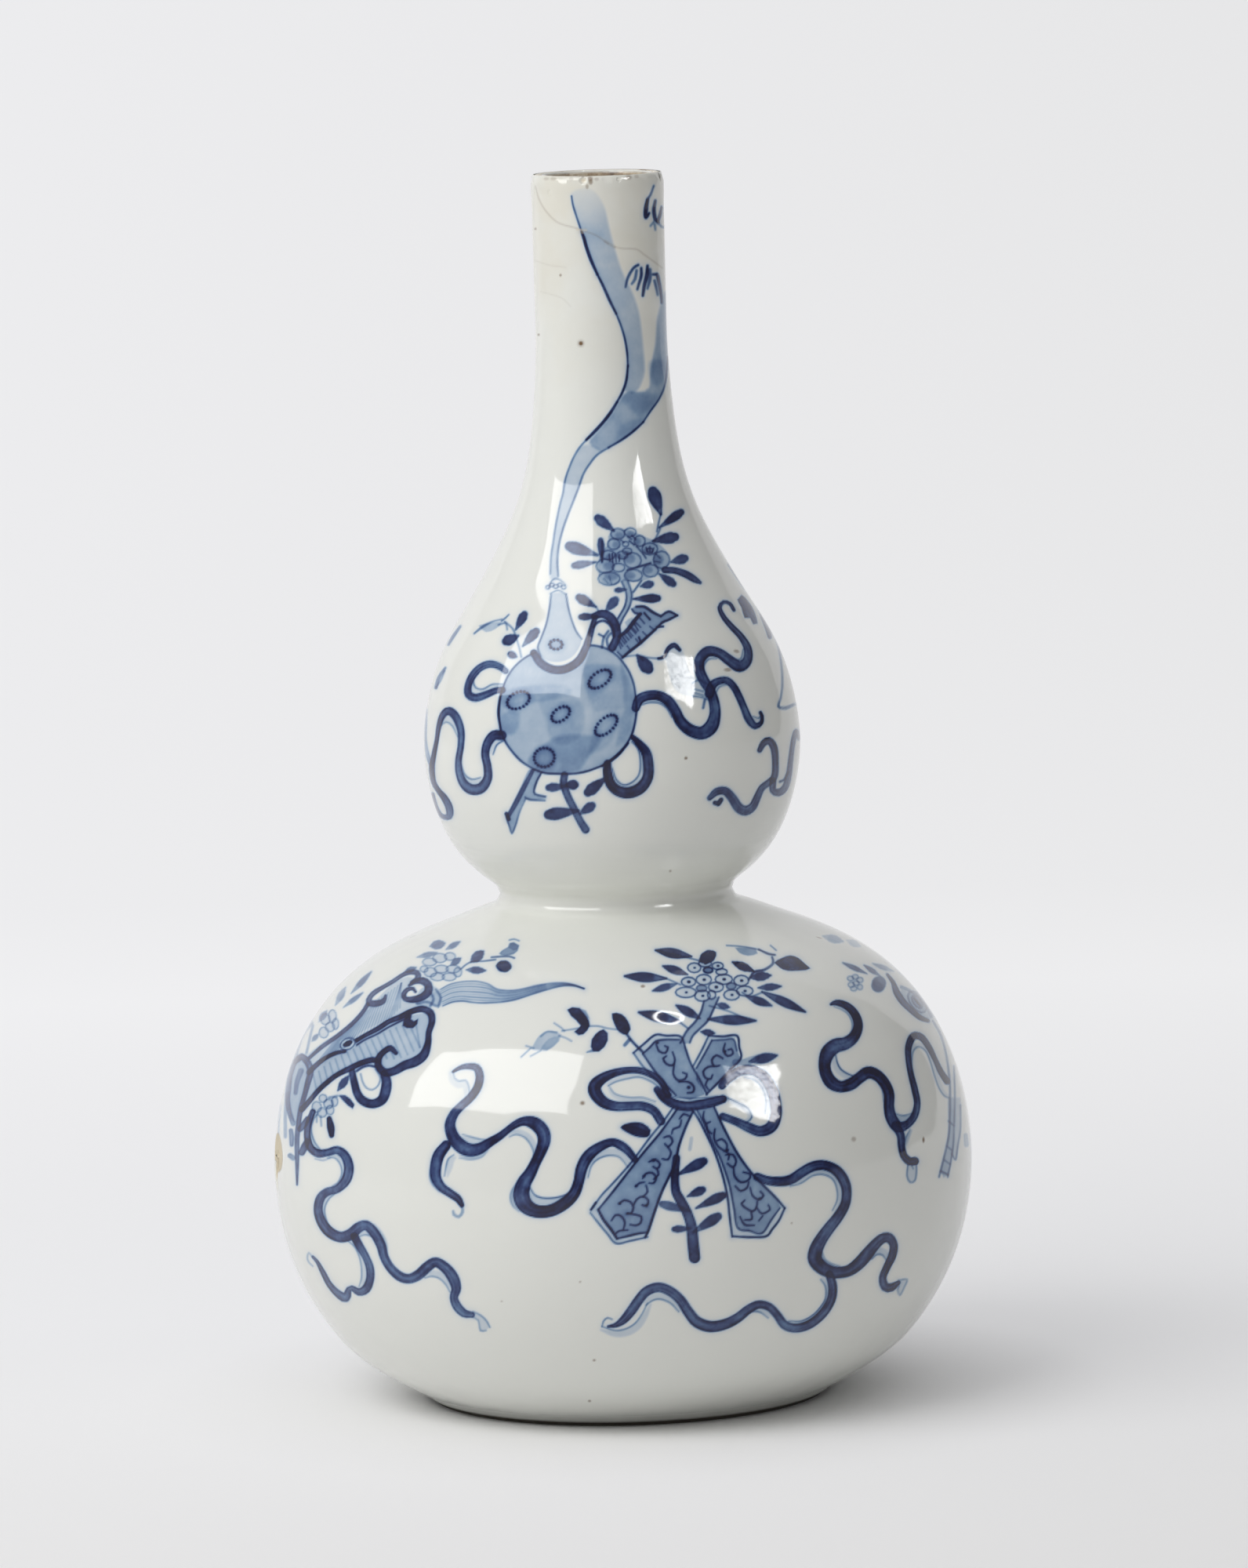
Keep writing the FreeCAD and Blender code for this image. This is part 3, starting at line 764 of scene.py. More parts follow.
# %% Ribbon ends and stems under the gourd
upper_ribbons = [
    (0.9, 10, 811,903, 12, 815,893, 12, 824,888, 12, 838,887, 13, 851,893, 13, 861,906, 14, 868,920,
     15, 880,931, 16, 895,935, 17, 907,927, 14, 912,912, 13, 911,896, 12, 906,881, 13, 898,868,
     13, 892,854, 13, 893,841, 13, 903,831, 12, 917,833, 13, 930,842, 14, 943,850, 12, 953,843,
     10, 954,828, 8, 946,813, 7, 933,799, 6, 923,787, 5, 918,775, 4, 923,768, 4, 931,770,
     4, 936,778),
    (0.97, 12, 905,885, 11, 908,875, 9, 916,869, 9, 927,868, 9, 936,876, 9, 943,889, 9, 949,903,
     10, 955,917, 8, 963,926, 5, 971,922, 4, 972,913, 4, 970,909),
    (1.0, 6, 807,940, 9, 815,948, 12, 824,960, 13, 827,976, 13, 826,992, 14, 817,1005, 14, 803,1011,
     13, 789,1009, 12, 779,1000, 11, 775,986, 9, 775,974),
    (0.88, 7, 645,856, 8, 637,850, 9, 625,847, 9, 612,852, 9, 602,863, 9, 597,876, 10, 598,886,
     10, 607,890, 9, 620,886, 8, 632,881, 8, 641,880),
    (0.93, 12, 640,938, 12, 630,938, 11, 622,948, 10, 619,962, 10, 622,978, 11, 622,993,
     13, 614,1005, 13, 602,1007, 11, 592,1000, 9, 586,986, 8, 585,970, 8, 588,950, 9, 588,932,
     10, 582,915, 10, 573,907, 8, 565,912, 6, 560,926, 5, 557,945, 6, 553,965, 7, 551,980,
     6, 553,997, 6, 559,1008, 8, 567,1018, 9, 573,1030, 8, 573,1041, 5, 564,1041, 4, 557,1030,
     4, 552,1013),
    (0.5, 5, 551,978, 5, 546,965, 3, 543,945, 3, 543,925, 2, 544,905),
    (0.93, 6, 905,1018, 9, 914,1010, 10, 925,1009, 11, 934,1018, 12, 942,1030, 12, 951,1034,
     10, 960,1029, 9, 966,1017, 8, 972,1005, 8, 981,998, 8, 988,990, 8, 989,970, 9, 987,953,
     9, 981,945, 8, 974,948, 6, 969,957),
    (0.86, 8, 986,996, 8, 986,1008, 9, 993,1011, 8, 1001,1005, 7, 1006,990, 6, 1009,965,
     6, 1012,945, 6, 1016,933, 4, 1019,942),
]
upper_limb_bands = [
    (0.7, 2.5, 995,997, 2.5, 1000,995, 2.5, 1005,985), (1.0, 5, 912,1024, 6, 916,1025, 5, 920,1020),
    (0.55, 2.5, 985,800, 2.5, 993,825, 2.5, 997,850, 2.5, 998,872, 2.5, 996,890, 3, 993,901,
     4, 1002,903, 3, 1012,899, 2, 1020,897),
    (0.7, 5, 931,720, 6, 940,733, 7, 950,746, 5, 958,757),
    (0.75, 6, 966,768, 8, 973,783, 7, 979,800, 5, 982,812),
    (0.55, 3, 587,799, 4, 578,812, 3, 572,822), (0.5, 3, 568,852, 4, 560,864, 4, 556,877),
    (0.4, 2, 567,856, 2, 562,868, 2, 556,877),
]
# the pale back of a ribbon, between its dark face and a thin line
upper_ribbon_backs = [
    (0.20, 0.55, -7, 819,899, 829,896, 841,897, 850,903, 857,915),
    (0.22, 0.6, -8, 806,946, 814,956, 817,972, 815,988, 806,998, 795,1001, 786,994, 781,980),
    (0.16, 0.5, -6, 641,873, 628,873, 616,879, 607,877, 604,868, 611,858),
    (0.20, 0.6, 7, 644,944, 634,950, 629,962), (0.18, 0.5, 7, 588,974, 593,988, 602,994, 613,992),
    (0.18, 0.4, -7, 562,926, 569,921, 577,926, 584,940),
    (0.18, 0.5, -6, 900,862, 898,850, 904,841, 914,840),
    (0.18, 0.5, 5, 926,836, 936,841, 945,840, 948,828), (0.18, 0.5, -5, 913,884, 918,876, 926,874),
    (0.18, 0.5, 7, 961,914, 968,916, 971,912),
]
stem_fills = [
    (0.38, 676,981, 664,1005, 653,1028, 645,1042, 650,1055, 653,1063, 658,1052, 662,1035, 670,1020,
     683,1020, 697,1018, 695,1015, 683,1013, 682,1008, 686,995, 691,985),
]
stem_lines = [
    (6, 0.7, 679,984, 668,1005, 657,1026, 648,1042),
    (2.2, 0.7, 691,985, 685,996, 681,1010, 686,1014, 696,1016),
    (2.2, 0.7, 670,1017, 676,1020, 695,1021),
    (1.8, 0.55, 646,1043, 650,1055, 653,1063, 658,1052, 663,1035, 670,1020),
    (6, 0.9, 646,1038, 649,1045),
]
stem_bands = [(0.85, 9, 720,989, 9, 719,1000, 9, 724,1015, 9, 732,1031, 9, 740,1047, 10, 747,1058)]
stem_leaves = [
    (0.75, 10, 722,1003, 696,1005), (1.0, 11, 722,1001, 738,1001), (0.95, 14, 738,1034, 694,1040),
    (0.85, 11, 740,1038, 759,1025), (0.95, 13, 773,992, 746,1014),
]
# %% Castanets on the lower bulb
castanet_fills = [
    (0.44, 819,1344, 836,1327, 850,1326, 867,1326, 876,1342, 884,1362, 899,1396, 880,1403, 862,1398,
     848,1383, 832,1364),
    (0.46, 908,1327, 936,1326, 944,1350, 930,1366, 915,1384, 901,1396, 888,1377, 889,1362,
     900,1342),
    (0.46, 888,1413, 911,1412, 924,1440, 940,1470, 957,1494, 973,1511, 989,1527, 996,1540, 984,1556,
     973,1573, 942,1567, 936,1540, 930,1510, 919,1478, 908,1456, 900,1437),
    (0.47, 863,1412, 884,1416, 875,1437, 866,1462, 861,1483, 853,1500, 843,1521, 834,1546, 825,1571,
     787,1580, 763,1543, 781,1521, 802,1494, 821,1470, 842,1445, 856,1425),
    (0.13, 859,1412, 847,1429, 829,1451, 805,1483, 783,1508, 753,1545, 786,1586, 826,1578, 824,1572,
     787,1580, 763,1544, 781,1521, 802,1494, 821,1470, 842,1445, 862,1414),
    (0.13, 808,1343, 836,1320, 868,1322, 867,1326, 837,1328, 820,1344, 850,1386, 862,1398,
     855,1396),
    (0.13, 904,1321, 940,1321, 936,1326, 908,1327, 889,1362, 884,1360),
    (0.13, 882,1414, 892,1429, 903,1451, 913,1473, 922,1500, 928,1527, 934,1577, 979,1577,
     1001,1541, 984,1556, 973,1573, 942,1567, 930,1510, 908,1456, 888,1413),
]
castanet_lines = [
    (2.3, 0.8, 808,1343, 822,1331, 836,1320, 850,1321, 868,1322, 874,1336, 881,1356, 892,1376,
     902,1396),
    (2.2, 0.7, 808,1343, 821,1361, 840,1380, 856,1396),
    (2.0, 0.8, 820,1344, 829,1336, 837,1328, 850,1326, 867,1326),
    (2.2, 0.8, 820,1344, 833,1363, 848,1382, 862,1397),
    (2.4, 0.85, 904,1321, 922,1322, 940,1321, 943,1336, 945,1350, 930,1366, 915,1382, 901,1396),
    (2.2, 0.75, 904,1321, 895,1340, 884,1360), (1.8, 0.7, 908,1327, 924,1326, 936,1326, 940,1340),
    (2.0, 0.8, 908,1327, 900,1342, 888,1363),
    (2.6, 0.88, 911,1412, 924,1440, 940,1470, 957,1494, 973,1511, 989,1527, 1001,1541),
    (2.4, 0.85, 1001,1541, 994,1556, 985,1568, 977,1577, 955,1578, 934,1577),
    (2.4, 0.85, 882,1414, 892,1429, 903,1451, 913,1473, 922,1500, 928,1527, 931,1554, 934,1577),
    (2.0, 0.75, 888,1414, 900,1437, 908,1456, 919,1478, 930,1510, 936,1540, 941,1566, 956,1570,
     972,1573, 984,1556, 995,1541),
    (2.8, 0.95, 884,1418, 875,1437, 866,1462, 862,1483, 854,1500, 844,1521, 835,1546, 827,1570,
     823,1578),
    (2.2, 0.75, 859,1412, 847,1429, 829,1451, 805,1483, 783,1508, 768,1524, 757,1539),
    (3.2, 1.0, 760,1534, 754,1543),
    (2.0, 0.7, 753,1547, 765,1562, 775,1574, 786,1586, 803,1583, 826,1578),
    (2.4, 0.9, 863,1416, 842,1445, 821,1470, 802,1494, 781,1521, 763,1543),
    (3.2, 1.0, 763,1543, 770,1556, 780,1569, 787,1580),
    (2.4, 0.85, 787,1580, 800,1577, 812,1574, 825,1572),
]
castanet_scrolls = [
    (880,1424, 872,1421, 867,1427), (869,1429, 867,1437, 859,1440, 857,1446),
    (898,1418, 897,1426, 901,1433, 906,1431), (901,1434, 903,1442, 908,1446),
    (837,1332, 841,1341, 849,1343, 852,1336, 848,1334),
    (858,1342, 861,1352, 858,1359, 850,1357, 846,1350, 850,1347),
    (860,1358, 859,1370, 865,1378, 874,1376, 876,1370, 871,1368),
    (866,1380, 878,1380, 885,1386, 884,1393, 877,1394),
    (925,1331, 923,1340, 928,1347, 935,1344, 933,1338, 929,1339),
    (922,1350, 914,1346, 908,1352, 911,1360, 918,1359),
    (911,1360, 903,1361, 897,1367, 900,1375, 907,1376, 909,1371), (903,1377, 900,1384, 904,1390),
    (912,1440, 911,1452, 916,1462, 924,1468), (915,1455, 921,1453, 927,1459, 927,1468),
    (924,1468, 930,1472, 929,1479), (926,1473, 935,1473, 939,1482, 935,1489, 928,1484),
    (936,1490, 937,1500, 945,1508, 955,1505, 957,1498, 948,1495),
    (955,1508, 953,1515, 945,1519, 938,1513), (957,1515, 960,1525, 968,1530, 974,1525, 970,1520),
    (966,1532, 965,1540, 960,1545, 950,1540, 946,1535, 950,1531),
    (965,1540, 972,1548, 982,1543, 980,1537), (958,1545, 959,1555, 950,1556), (968,1557, 973,1551),
    (944,1552, 950,1562, 962,1563), (847,1451, 854,1449, 858,1456, 852,1463, 848,1459),
    (852,1463, 856,1470, 852,1479, 845,1478), (828,1482, 836,1479, 842,1485, 838,1491, 833,1488),
    (838,1491, 840,1498, 834,1504), (820,1503, 824,1497, 832,1496, 837,1502, 834,1509, 828,1509),
    (811,1513, 816,1509, 822,1508), (824,1512, 826,1520, 820,1527),
    (808,1538, 812,1530, 820,1526, 827,1531, 825,1538, 819,1537),
    (790,1535, 796,1531, 804,1533, 808,1540, 805,1548, 800,1548),
    (801,1548, 809,1549, 818,1552, 817,1560, 811,1563, 804,1562),
    (780,1557, 785,1550, 792,1551, 797,1559, 795,1569), (785,1574, 790,1570, 801,1569),
]
castanet_dots = [
    (878,1387, 3), (838,1330, 2.5), (924,1341, 2.5), (927,1467, 3), (969,1529, 2.5), (833,1480, 3),
    (821,1500, 2.5), (811,1513, 2.5), (790,1535, 2.6), (800,1548, 2.4), (824,1538, 2.4),
]

# %% Ribbons of the castanets
lower_ribbons = [
    # the knot, with its left loop and right loop
    (1.0, 8, 838,1390, 11, 847,1400, 12, 860,1408, 12, 876,1411, 12, 893,1409, 12, 908,1406,
     10, 922,1402),
    (1.0, 8, 852,1397, 8, 842,1378, 8, 822,1367, 8, 803,1365, 10, 783,1369, 13, 768,1376,
     16, 759,1385, 16, 760,1395, 14, 770,1406, 12, 785,1411, 11, 803,1411, 11, 820,1411,
     11, 834,1417, 11, 843,1430),
    (0.9, 9, 921,1385, 11, 930,1375, 12, 944,1366, 12, 960,1365, 13, 974,1373, 14, 984,1388,
     14, 989,1405, 14, 990,1422, 14, 984,1437, 13, 970,1443, 12, 955,1438, 10, 940,1431,
     9, 922,1424),
    # the left end, winding out from behind the clappers to the curl under the window's reflection
    (0.95, 8, 810,1479, 10, 801,1468, 11, 792,1461, 10, 780,1457, 12, 763,1464, 14, 750,1475,
     14, 742,1490, 13, 738,1508, 14, 732,1523, 15, 720,1535, 15, 703,1544, 16, 685,1545,
     19, 671,1538, 20, 665,1525, 18, 668,1510, 15, 676,1497, 13, 683,1483, 14, 690,1468,
     16, 694,1455, 17, 692,1443, 16, 682,1433, 11, 669,1430, 9, 658,1434, 8, 648,1441, 9, 638,1449,
     11, 625,1457, 14, 612,1465, 16, 600,1467, 17, 588,1462, 15, 578,1450, 13, 574,1435,
     11, 579,1421, 10, 588,1411, 10, 600,1400, 10, 609,1387, 10, 612,1373, 9, 608,1362, 7, 597,1360,
     5, 587,1362, 3, 578,1367),
    (0.92, 12, 569,1461, 14, 560,1473, 14, 556,1487, 13, 556,1502, 11, 563,1514, 10, 574,1522,
     9, 584,1529, 6, 589,1537),
    # the right end, to the bottom and along the foot
    (0.95, 10, 966,1501, 11, 980,1506, 12, 998,1507, 12, 1010,1504, 12, 1022,1496, 12, 1034,1489,
     12, 1046,1486, 12, 1058,1488, 13, 1069,1495, 13, 1077,1507, 12, 1080,1520, 12, 1078,1536,
     13, 1069,1552, 14, 1058,1566, 15, 1048,1580, 17, 1041,1594, 18, 1040,1607, 17, 1050,1618,
     15, 1065,1623, 14, 1082,1621, 15, 1095,1612, 15, 1106,1600, 13, 1115,1589, 12, 1125,1580,
     12, 1134,1579, 10, 1140,1588, 10, 1138,1602, 9, 1131,1617, 9, 1126,1630, 11, 1129,1641,
     10, 1137,1642, 5, 1146,1636),
    (0.9, 10, 1058,1626, 11, 1062,1640, 11, 1061,1655, 11, 1055,1668, 11, 1045,1680, 11, 1031,1690,
     11, 1015,1694, 11, 1001,1690, 10, 991,1677, 10, 981,1667, 10, 968,1664, 11, 955,1670,
     12, 941,1681, 13, 925,1689, 14, 906,1692, 14, 889,1686, 13, 878,1673, 12, 868,1658,
     12, 855,1647, 12, 840,1642, 12, 825,1647, 12, 815,1658, 12, 806,1671, 10, 796,1683,
     6, 786,1690, 3, 776,1692),
]
limb_ribbons = [
    (1.0, 3, 1060,1281, 7, 1067,1279, 9, 1078,1282, 10, 1088,1290, 11, 1094,1302, 12, 1094,1313,
     14, 1088,1324, 16, 1078,1331, 18, 1066,1334, 18, 1056,1343, 15, 1052,1357, 15, 1054,1370,
     16, 1061,1381, 14, 1072,1386, 15, 1085,1383, 14, 1096,1375, 15, 1107,1368, 14, 1118,1371,
     13, 1128,1381, 13, 1134,1395, 13, 1134,1412, 14, 1137,1426, 14, 1145,1437, 10, 1156,1435,
     9, 1166,1424, 8, 1170,1408, 8, 1167,1390, 7, 1162,1370, 7, 1159,1352, 8, 1159,1335,
     9, 1165,1322, 8, 1175,1323, 7, 1185,1336, 6, 1193,1352, 7, 1200,1367, 8, 1208,1379),
    (0.95, 12, 1143,1436, 10, 1149,1448, 9, 1150,1462, 9, 1153,1474, 10, 1160,1481, 10, 1167,1481),
]
drum_ribbons = [
    (0.85, 7, 399,1418, 8, 393,1435, 8, 392,1450, 9, 396,1464, 10, 406,1471, 9, 418,1470,
     10, 430,1467, 11, 440,1474, 12, 445,1488, 12, 442,1504, 10, 431,1516, 10, 416,1521,
     11, 408,1530, 11, 406,1545, 12, 411,1560, 13, 421,1572, 13, 435,1578, 14, 448,1574,
     13, 457,1566, 12, 467,1563, 12, 477,1572, 12, 486,1588, 11, 490,1603, 11, 498,1617,
     12, 510,1628, 12, 522,1631, 13, 534,1626, 13, 545,1616, 12, 556,1610, 13, 569,1618,
     14, 578,1630, 12, 582,1643, 10, 579,1655, 11, 583,1666, 10, 592,1675, 7, 602,1677),
    (0.88, 10, 452,1577, 10, 459,1590, 9, 467,1604, 10, 472,1618, 10, 472,1632, 11, 467,1644,
     9, 458,1648, 6, 449,1643, 7, 445,1645, 11, 441,1655, 9, 431,1650, 7, 420,1638, 6, 412,1623,
     4, 405,1610, 3, 399,1603),
]
# wash tone, line tone, width of the wash to the right of travel (minus: to the left), line
lower_ribbon_backs = [
    (0.18, 0.5, 8, 845,1393, 860,1399, 885,1401, 915,1398),
    (0.2, 0.5, -5, 776,1385, 785,1380, 800,1376, 816,1374, 833,1381, 846,1392),
    (0.2, 0.4, 5, 778,1387, 783,1394, 792,1398, 805,1400, 820,1400, 836,1405),
    (0.25, 0.6, 5, 925,1399, 940,1406, 954,1414, 959,1425, 951,1433),
    (0.2, 0.4, -7, 950,1374, 963,1378, 974,1391, 977,1406, 976,1420),
    (0.28, 0.5, -8, 750,1502, 754,1488, 762,1479, 775,1474, 788,1475, 796,1482, 801,1489),
    (0.28, 0.65, 9, 676,1515, 682,1524, 692,1528, 706,1528, 719,1525, 728,1520),
    (0.25, 0.4, -7, 650,1450, 658,1447, 668,1450, 675,1457, 680,1467, 681,1478),
    (0.22, 0.4, 9, 590,1447, 600,1450, 612,1453, 624,1454),
    (0.35, 0.3, 6, 622,1468, 614,1476, 600,1479, 586,1477),
    (0.4, 0.35, 8, 662,1545, 654,1538, 651,1528, 653,1518, 659,1509),
    (0.16, 0.35, -9, 599,1400, 598,1386, 594,1378, 586,1379, 580,1375, 578,1367),
    (0.22, 0.45, -8, 579,1473, 572,1478, 569,1488, 567,1500),
    (0.3, 0.3, 5, 560,1520, 551,1510, 548,1497, 551,1483),
    (0.3, 0.5, -7, 1008,1513, 1022,1509, 1036,1500, 1049,1498, 1061,1503, 1067,1514, 1068,1530,
     1062,1544),
    (0.25, 0.4, 6, 1049,1598, 1053,1607, 1061,1612, 1071,1615),
    (0.3, 0.5, -8, 1112,1606, 1119,1600, 1126,1601, 1131,1608),
    (0.3, 0.55, -6, 1047,1632, 1053,1641, 1053,1656, 1046,1668, 1036,1678, 1022,1685, 1006,1685),
    (0.25, 0.5, -7, 950,1677, 960,1673, 970,1674, 980,1681),
    (0.22, 0.5, -7, 824,1665, 832,1659, 842,1657, 855,1662, 866,1673),
    (0.25, 0.45, -9, 826,1662, 819,1676, 810,1688, 798,1695, 784,1697, 768,1692),
    (0.0, 0.5, 1, 768,1692, 770,1685, 775,1681, 781,1683),
]
limb_ribbon_backs = [
    (0.25, 0.35, -7, 1064,1284, 1074,1288, 1082,1294, 1087,1305, 1086,1316, 1081,1325),
    (0.22, 0.65, 7, 1066,1346, 1068,1355, 1072,1363, 1080,1369, 1090,1373),
    (0.35, 0.3, -5, 1119,1381, 1125,1390, 1127,1405),
    (0.4, 0.5, 10, 1141,1420, 1152,1423, 1165,1420),
    (0.18, 0.45, -5, 1164,1376, 1163,1356, 1165,1341, 1172,1335, 1181,1341, 1187,1355, 1192,1372,
     1198,1388, 1205,1398, 1211,1400),
    (0.4, 0.4, 4, 1154,1460, 1156,1450, 1161,1441),
]
drum_ribbon_backs = [
    (0.22, 0.45, -6, 409,1467, 401,1456, 397,1441, 400,1428, 405,1421),
    (0.2, 0.4, -6, 418,1477, 427,1477, 434,1485, 436,1496, 432,1507, 424,1513),
    (0.0, 0.3, 1, 402,1478, 412,1480, 421,1477),
    (0.22, 0.45, 5, 428,1522, 419,1530, 414,1542, 416,1555, 421,1565, 431,1573),
    (0.2, 0.4, -6, 457,1578, 465,1575, 474,1577, 481,1583),
    (0.22, 0.4, -8, 542,1630, 551,1628, 561,1631, 569,1639, 574,1648),
    (0.2, 0.4, -7, 444,1583, 452,1590, 458,1602, 461,1616, 461,1631, 458,1641),
    (0.35, 0.3, 4, 492,1604, 490,1588, 484,1574, 476,1563),
]
lower_ribbon_ends = [
    (2, 0.35, 1146,1633, 1157,1632, 1154,1641, 1148,1652, 1145,1645, 1147,1640),
    (3.5, 0.35, 589,1537, 590,1546, 585,1552, 579,1549, 578,1545),
]
outer_ribbon_ends = [
    (2, 0.45, 1158,1486, 1157,1500, 1161,1508, 1167,1506, 1169,1496, 1169,1485),
    (1.8, 0.4, 1163,1486, 1165,1491), (2, 0.4, 603,1673, 612,1677, 620,1684, 625,1693),
    (2, 0.35, 602,1680, 610,1684, 613,1697, 620,1697),
    (2, 0.3, 399,1604, 394,1598, 392,1604, 394,1610, 399,1615),
]
lower_ribbon_end_fills = [(0.14, 1146,1634, 1157,1632, 1148,1652)]
outer_ribbon_end_fills = [
    (0.16, 1158,1486, 1157,1500, 1161,1508, 1167,1506, 1169,1485),
    (0.12, 602,1675, 612,1677, 620,1684, 625,1693, 617,1698, 612,1698, 613,1688, 609,1681,
     602,1680),
]
lower_bands = [
    (0.95, 9, 863,1477, 10, 861,1500, 11, 862,1519, 12, 868,1531, 12, 876,1546, 13, 882,1564,
     14, 884,1584, 14, 886,1604),
    (0.7, 2.4, 868,1330, 2.6, 876,1315, 2.6, 887,1303, 2.4, 894,1291, 2, 898,1277),
    (0.7, 2, 917,1272, 2.4, 909,1290, 2.4, 903,1302, 2.4, 893,1312, 2.4, 884,1321, 2, 880,1330),
    (0.75, 3, 820,1342, 3, 808,1330, 3, 800,1320), (0.6, 4, 803,1326, 4, 797,1333),
    (0.45, 1.6, 797,1314, 1.6, 777,1312, 1.6, 764,1309, 1.6, 752,1309, 1.6, 741,1311,
     1.6, 717,1315),
    (0.4, 1.6, 707,1305, 1.6, 716,1311, 1.6, 720,1315),
    (0.4, 1.6, 713,1321, 1.6, 722,1324, 1.6, 729,1328),
    (0.5, 2, 836,1212, 2, 866,1219, 2, 895,1226), (0.5, 2, 850,1248, 2, 868,1256),
    (0.6, 2, 866,1303, 2, 878,1312), (0.5, 2, 947,1266, 2, 957,1271, 2, 972,1266),
    (0.5, 2, 905,1283, 2, 930,1290, 2, 952,1300), (0.5, 3, 756,1340, 1.6, 749,1342),
    (0.4, 1.6, 665,1348, 1.6, 677,1337), (0.35, 1.6, 671,1334, 1.6, 681,1337),
    (0.35, 1.6, 677,1347, 1.6, 690,1340), (0.9, 4, 795,1438, 9, 808,1441, 6, 826,1446),
    (0.35, 2, 690,1322, 2, 698,1316, 2, 710,1317), (0.2, 4, 882,1452, 4, 880,1466),
    (0.35, 8, 938,1355, 9, 947,1356, 9, 956,1353, 7, 966,1349),
]
lower_leaves = [
    (1.0, 11, 882,1220, 836,1212), (1.0, 14, 893,1226, 913,1215), (0.95, 9, 877,1243, 845,1232),
    (1.0, 11, 850,1248, 796,1245), (0.8, 8, 863,1255, 832,1264), (1.0, 9, 962,1239, 934,1227),
    (0.85, 10, 957,1247, 984,1244), (0.85, 8, 967,1260, 997,1258), (0.85, 9, 952,1271, 985,1283),
    (1.0, 10, 972,1265, 1028,1291), (0.8, 7, 914,1281, 931,1285), (0.9, 10, 893,1299, 862,1282),
    (1.0, 12, 868,1303, 814,1291), (0.95, 11, 903,1300, 965,1302), (0.95, 7, 894,1316, 912,1318),
    (0.9, 11, 956,1354, 992,1346),
]
stem_touches = [
    (1.0, 12, 865,1498, 902,1479), (0.95, 10, 877,1526, 900,1516), (0.95, 11, 888,1541, 926,1523),
    (0.75, 10, 881,1545, 841,1535), (0.9, 12, 884,1572, 920,1549), (0.85, 8, 881,1567, 857,1568),
]
outer_leaves = [
    (0.95, 13, 634,1232, 652,1233), (0.75, 11, 601,1227, 617,1213), (0.7, 8, 595,1237, 620,1238),
    (0.65, 7, 575,1231, 588,1222), (0.55, 6, 569,1211, 587,1201), (0.6, 10, 549,1207, 568,1203),
    (0.5, 6, 532,1221, 558,1215), (0.45, 7, 428,1282, 441,1259), (0.5, 5, 438,1285, 463,1266),
    (0.55, 6, 448,1267, 474,1239), (0.4, 7, 407,1303, 417,1289), (0.45, 5, 398,1328, 406,1319),
    (0.85, 8, 431,1391, 445,1372), (0.8, 5, 1106,1242, 1075,1228), (0.75, 5, 1123,1245, 1102,1231),
    (0.5, 5, 1140,1239, 1113,1229), (0.35, 9, 1050,1194, 1076,1201),
    (0.25, 7, 1080,1199, 1098,1207), (0.6, 6, 516,1240, 531,1234), (0.7, 16, 1118,1263, 1124,1247),
]
twig_fills = [
    (1.0, 988,1228, 998,1222, 1008,1219, 1018,1222, 1026,1229, 1033,1235, 1028,1237, 1005,1238,
     995,1234),
    (0.4, 938,1209, 950,1209, 964,1210, 966,1216, 954,1219, 943,1215),
]
twig_bands = [
    (0.7, 2.5, 985,1221, 3, 986,1229, 3, 975,1237, 3, 962,1240, 2, 955,1250),
    (0.7, 2, 968,1211, 2, 980,1217, 2, 988,1218), (0.5, 1.6, 983,1206, 1.6, 990,1212),
    (0.5, 1.6, 927,1206, 1.6, 943,1207, 1.6, 963,1210, 1.6, 981,1216, 1.6, 989,1218),
]
lower_fills = [
    (1.0, 781,1293, 793,1294, 801,1303, 804,1313, 800,1320, 790,1316, 784,1306),
    (1.0, 792,1438, 805,1432, 820,1433, 830,1442, 826,1450, 810,1449),
    (1.0, 724,1288, 730,1285, 739,1286, 745,1293, 751,1302, 752,1308, 749,1314, 744,1319, 738,1320,
     733,1316, 739,1311, 741,1308, 735,1301, 729,1296),
    (0.4, 739,1286, 747,1289, 752,1300, 748,1298),
    (0.95, 770,1313, 775,1318, 775,1327, 771,1335, 764,1341, 757,1341, 754,1335, 755,1326, 760,1319,
     765,1315),
    (0.38, 868,1330, 876,1315, 887,1303, 894,1291, 899,1276, 917,1272, 909,1290, 903,1302, 893,1312,
     884,1321, 880,1330),
    (0.24, 678,1338, 682,1330, 688,1321, 698,1315, 710,1316, 716,1320, 713,1328, 706,1335, 698,1340,
     688,1340),
    (0.2, 690,1338, 700,1325, 713,1322, 712,1328, 704,1336, 697,1340),
]
outer_fills = [
    (0.5, 637,1216, 641,1212, 648,1208, 650,1203, 655,1202, 662,1206, 660,1213, 655,1217, 645,1219,
     639,1218),
    (0.35, 649,1209, 651,1203, 656,1202, 662,1206, 660,1211, 655,1212),
    (0.8, 432,1397, 440,1397, 447,1402, 452,1409, 450,1414, 444,1410, 438,1404),
]
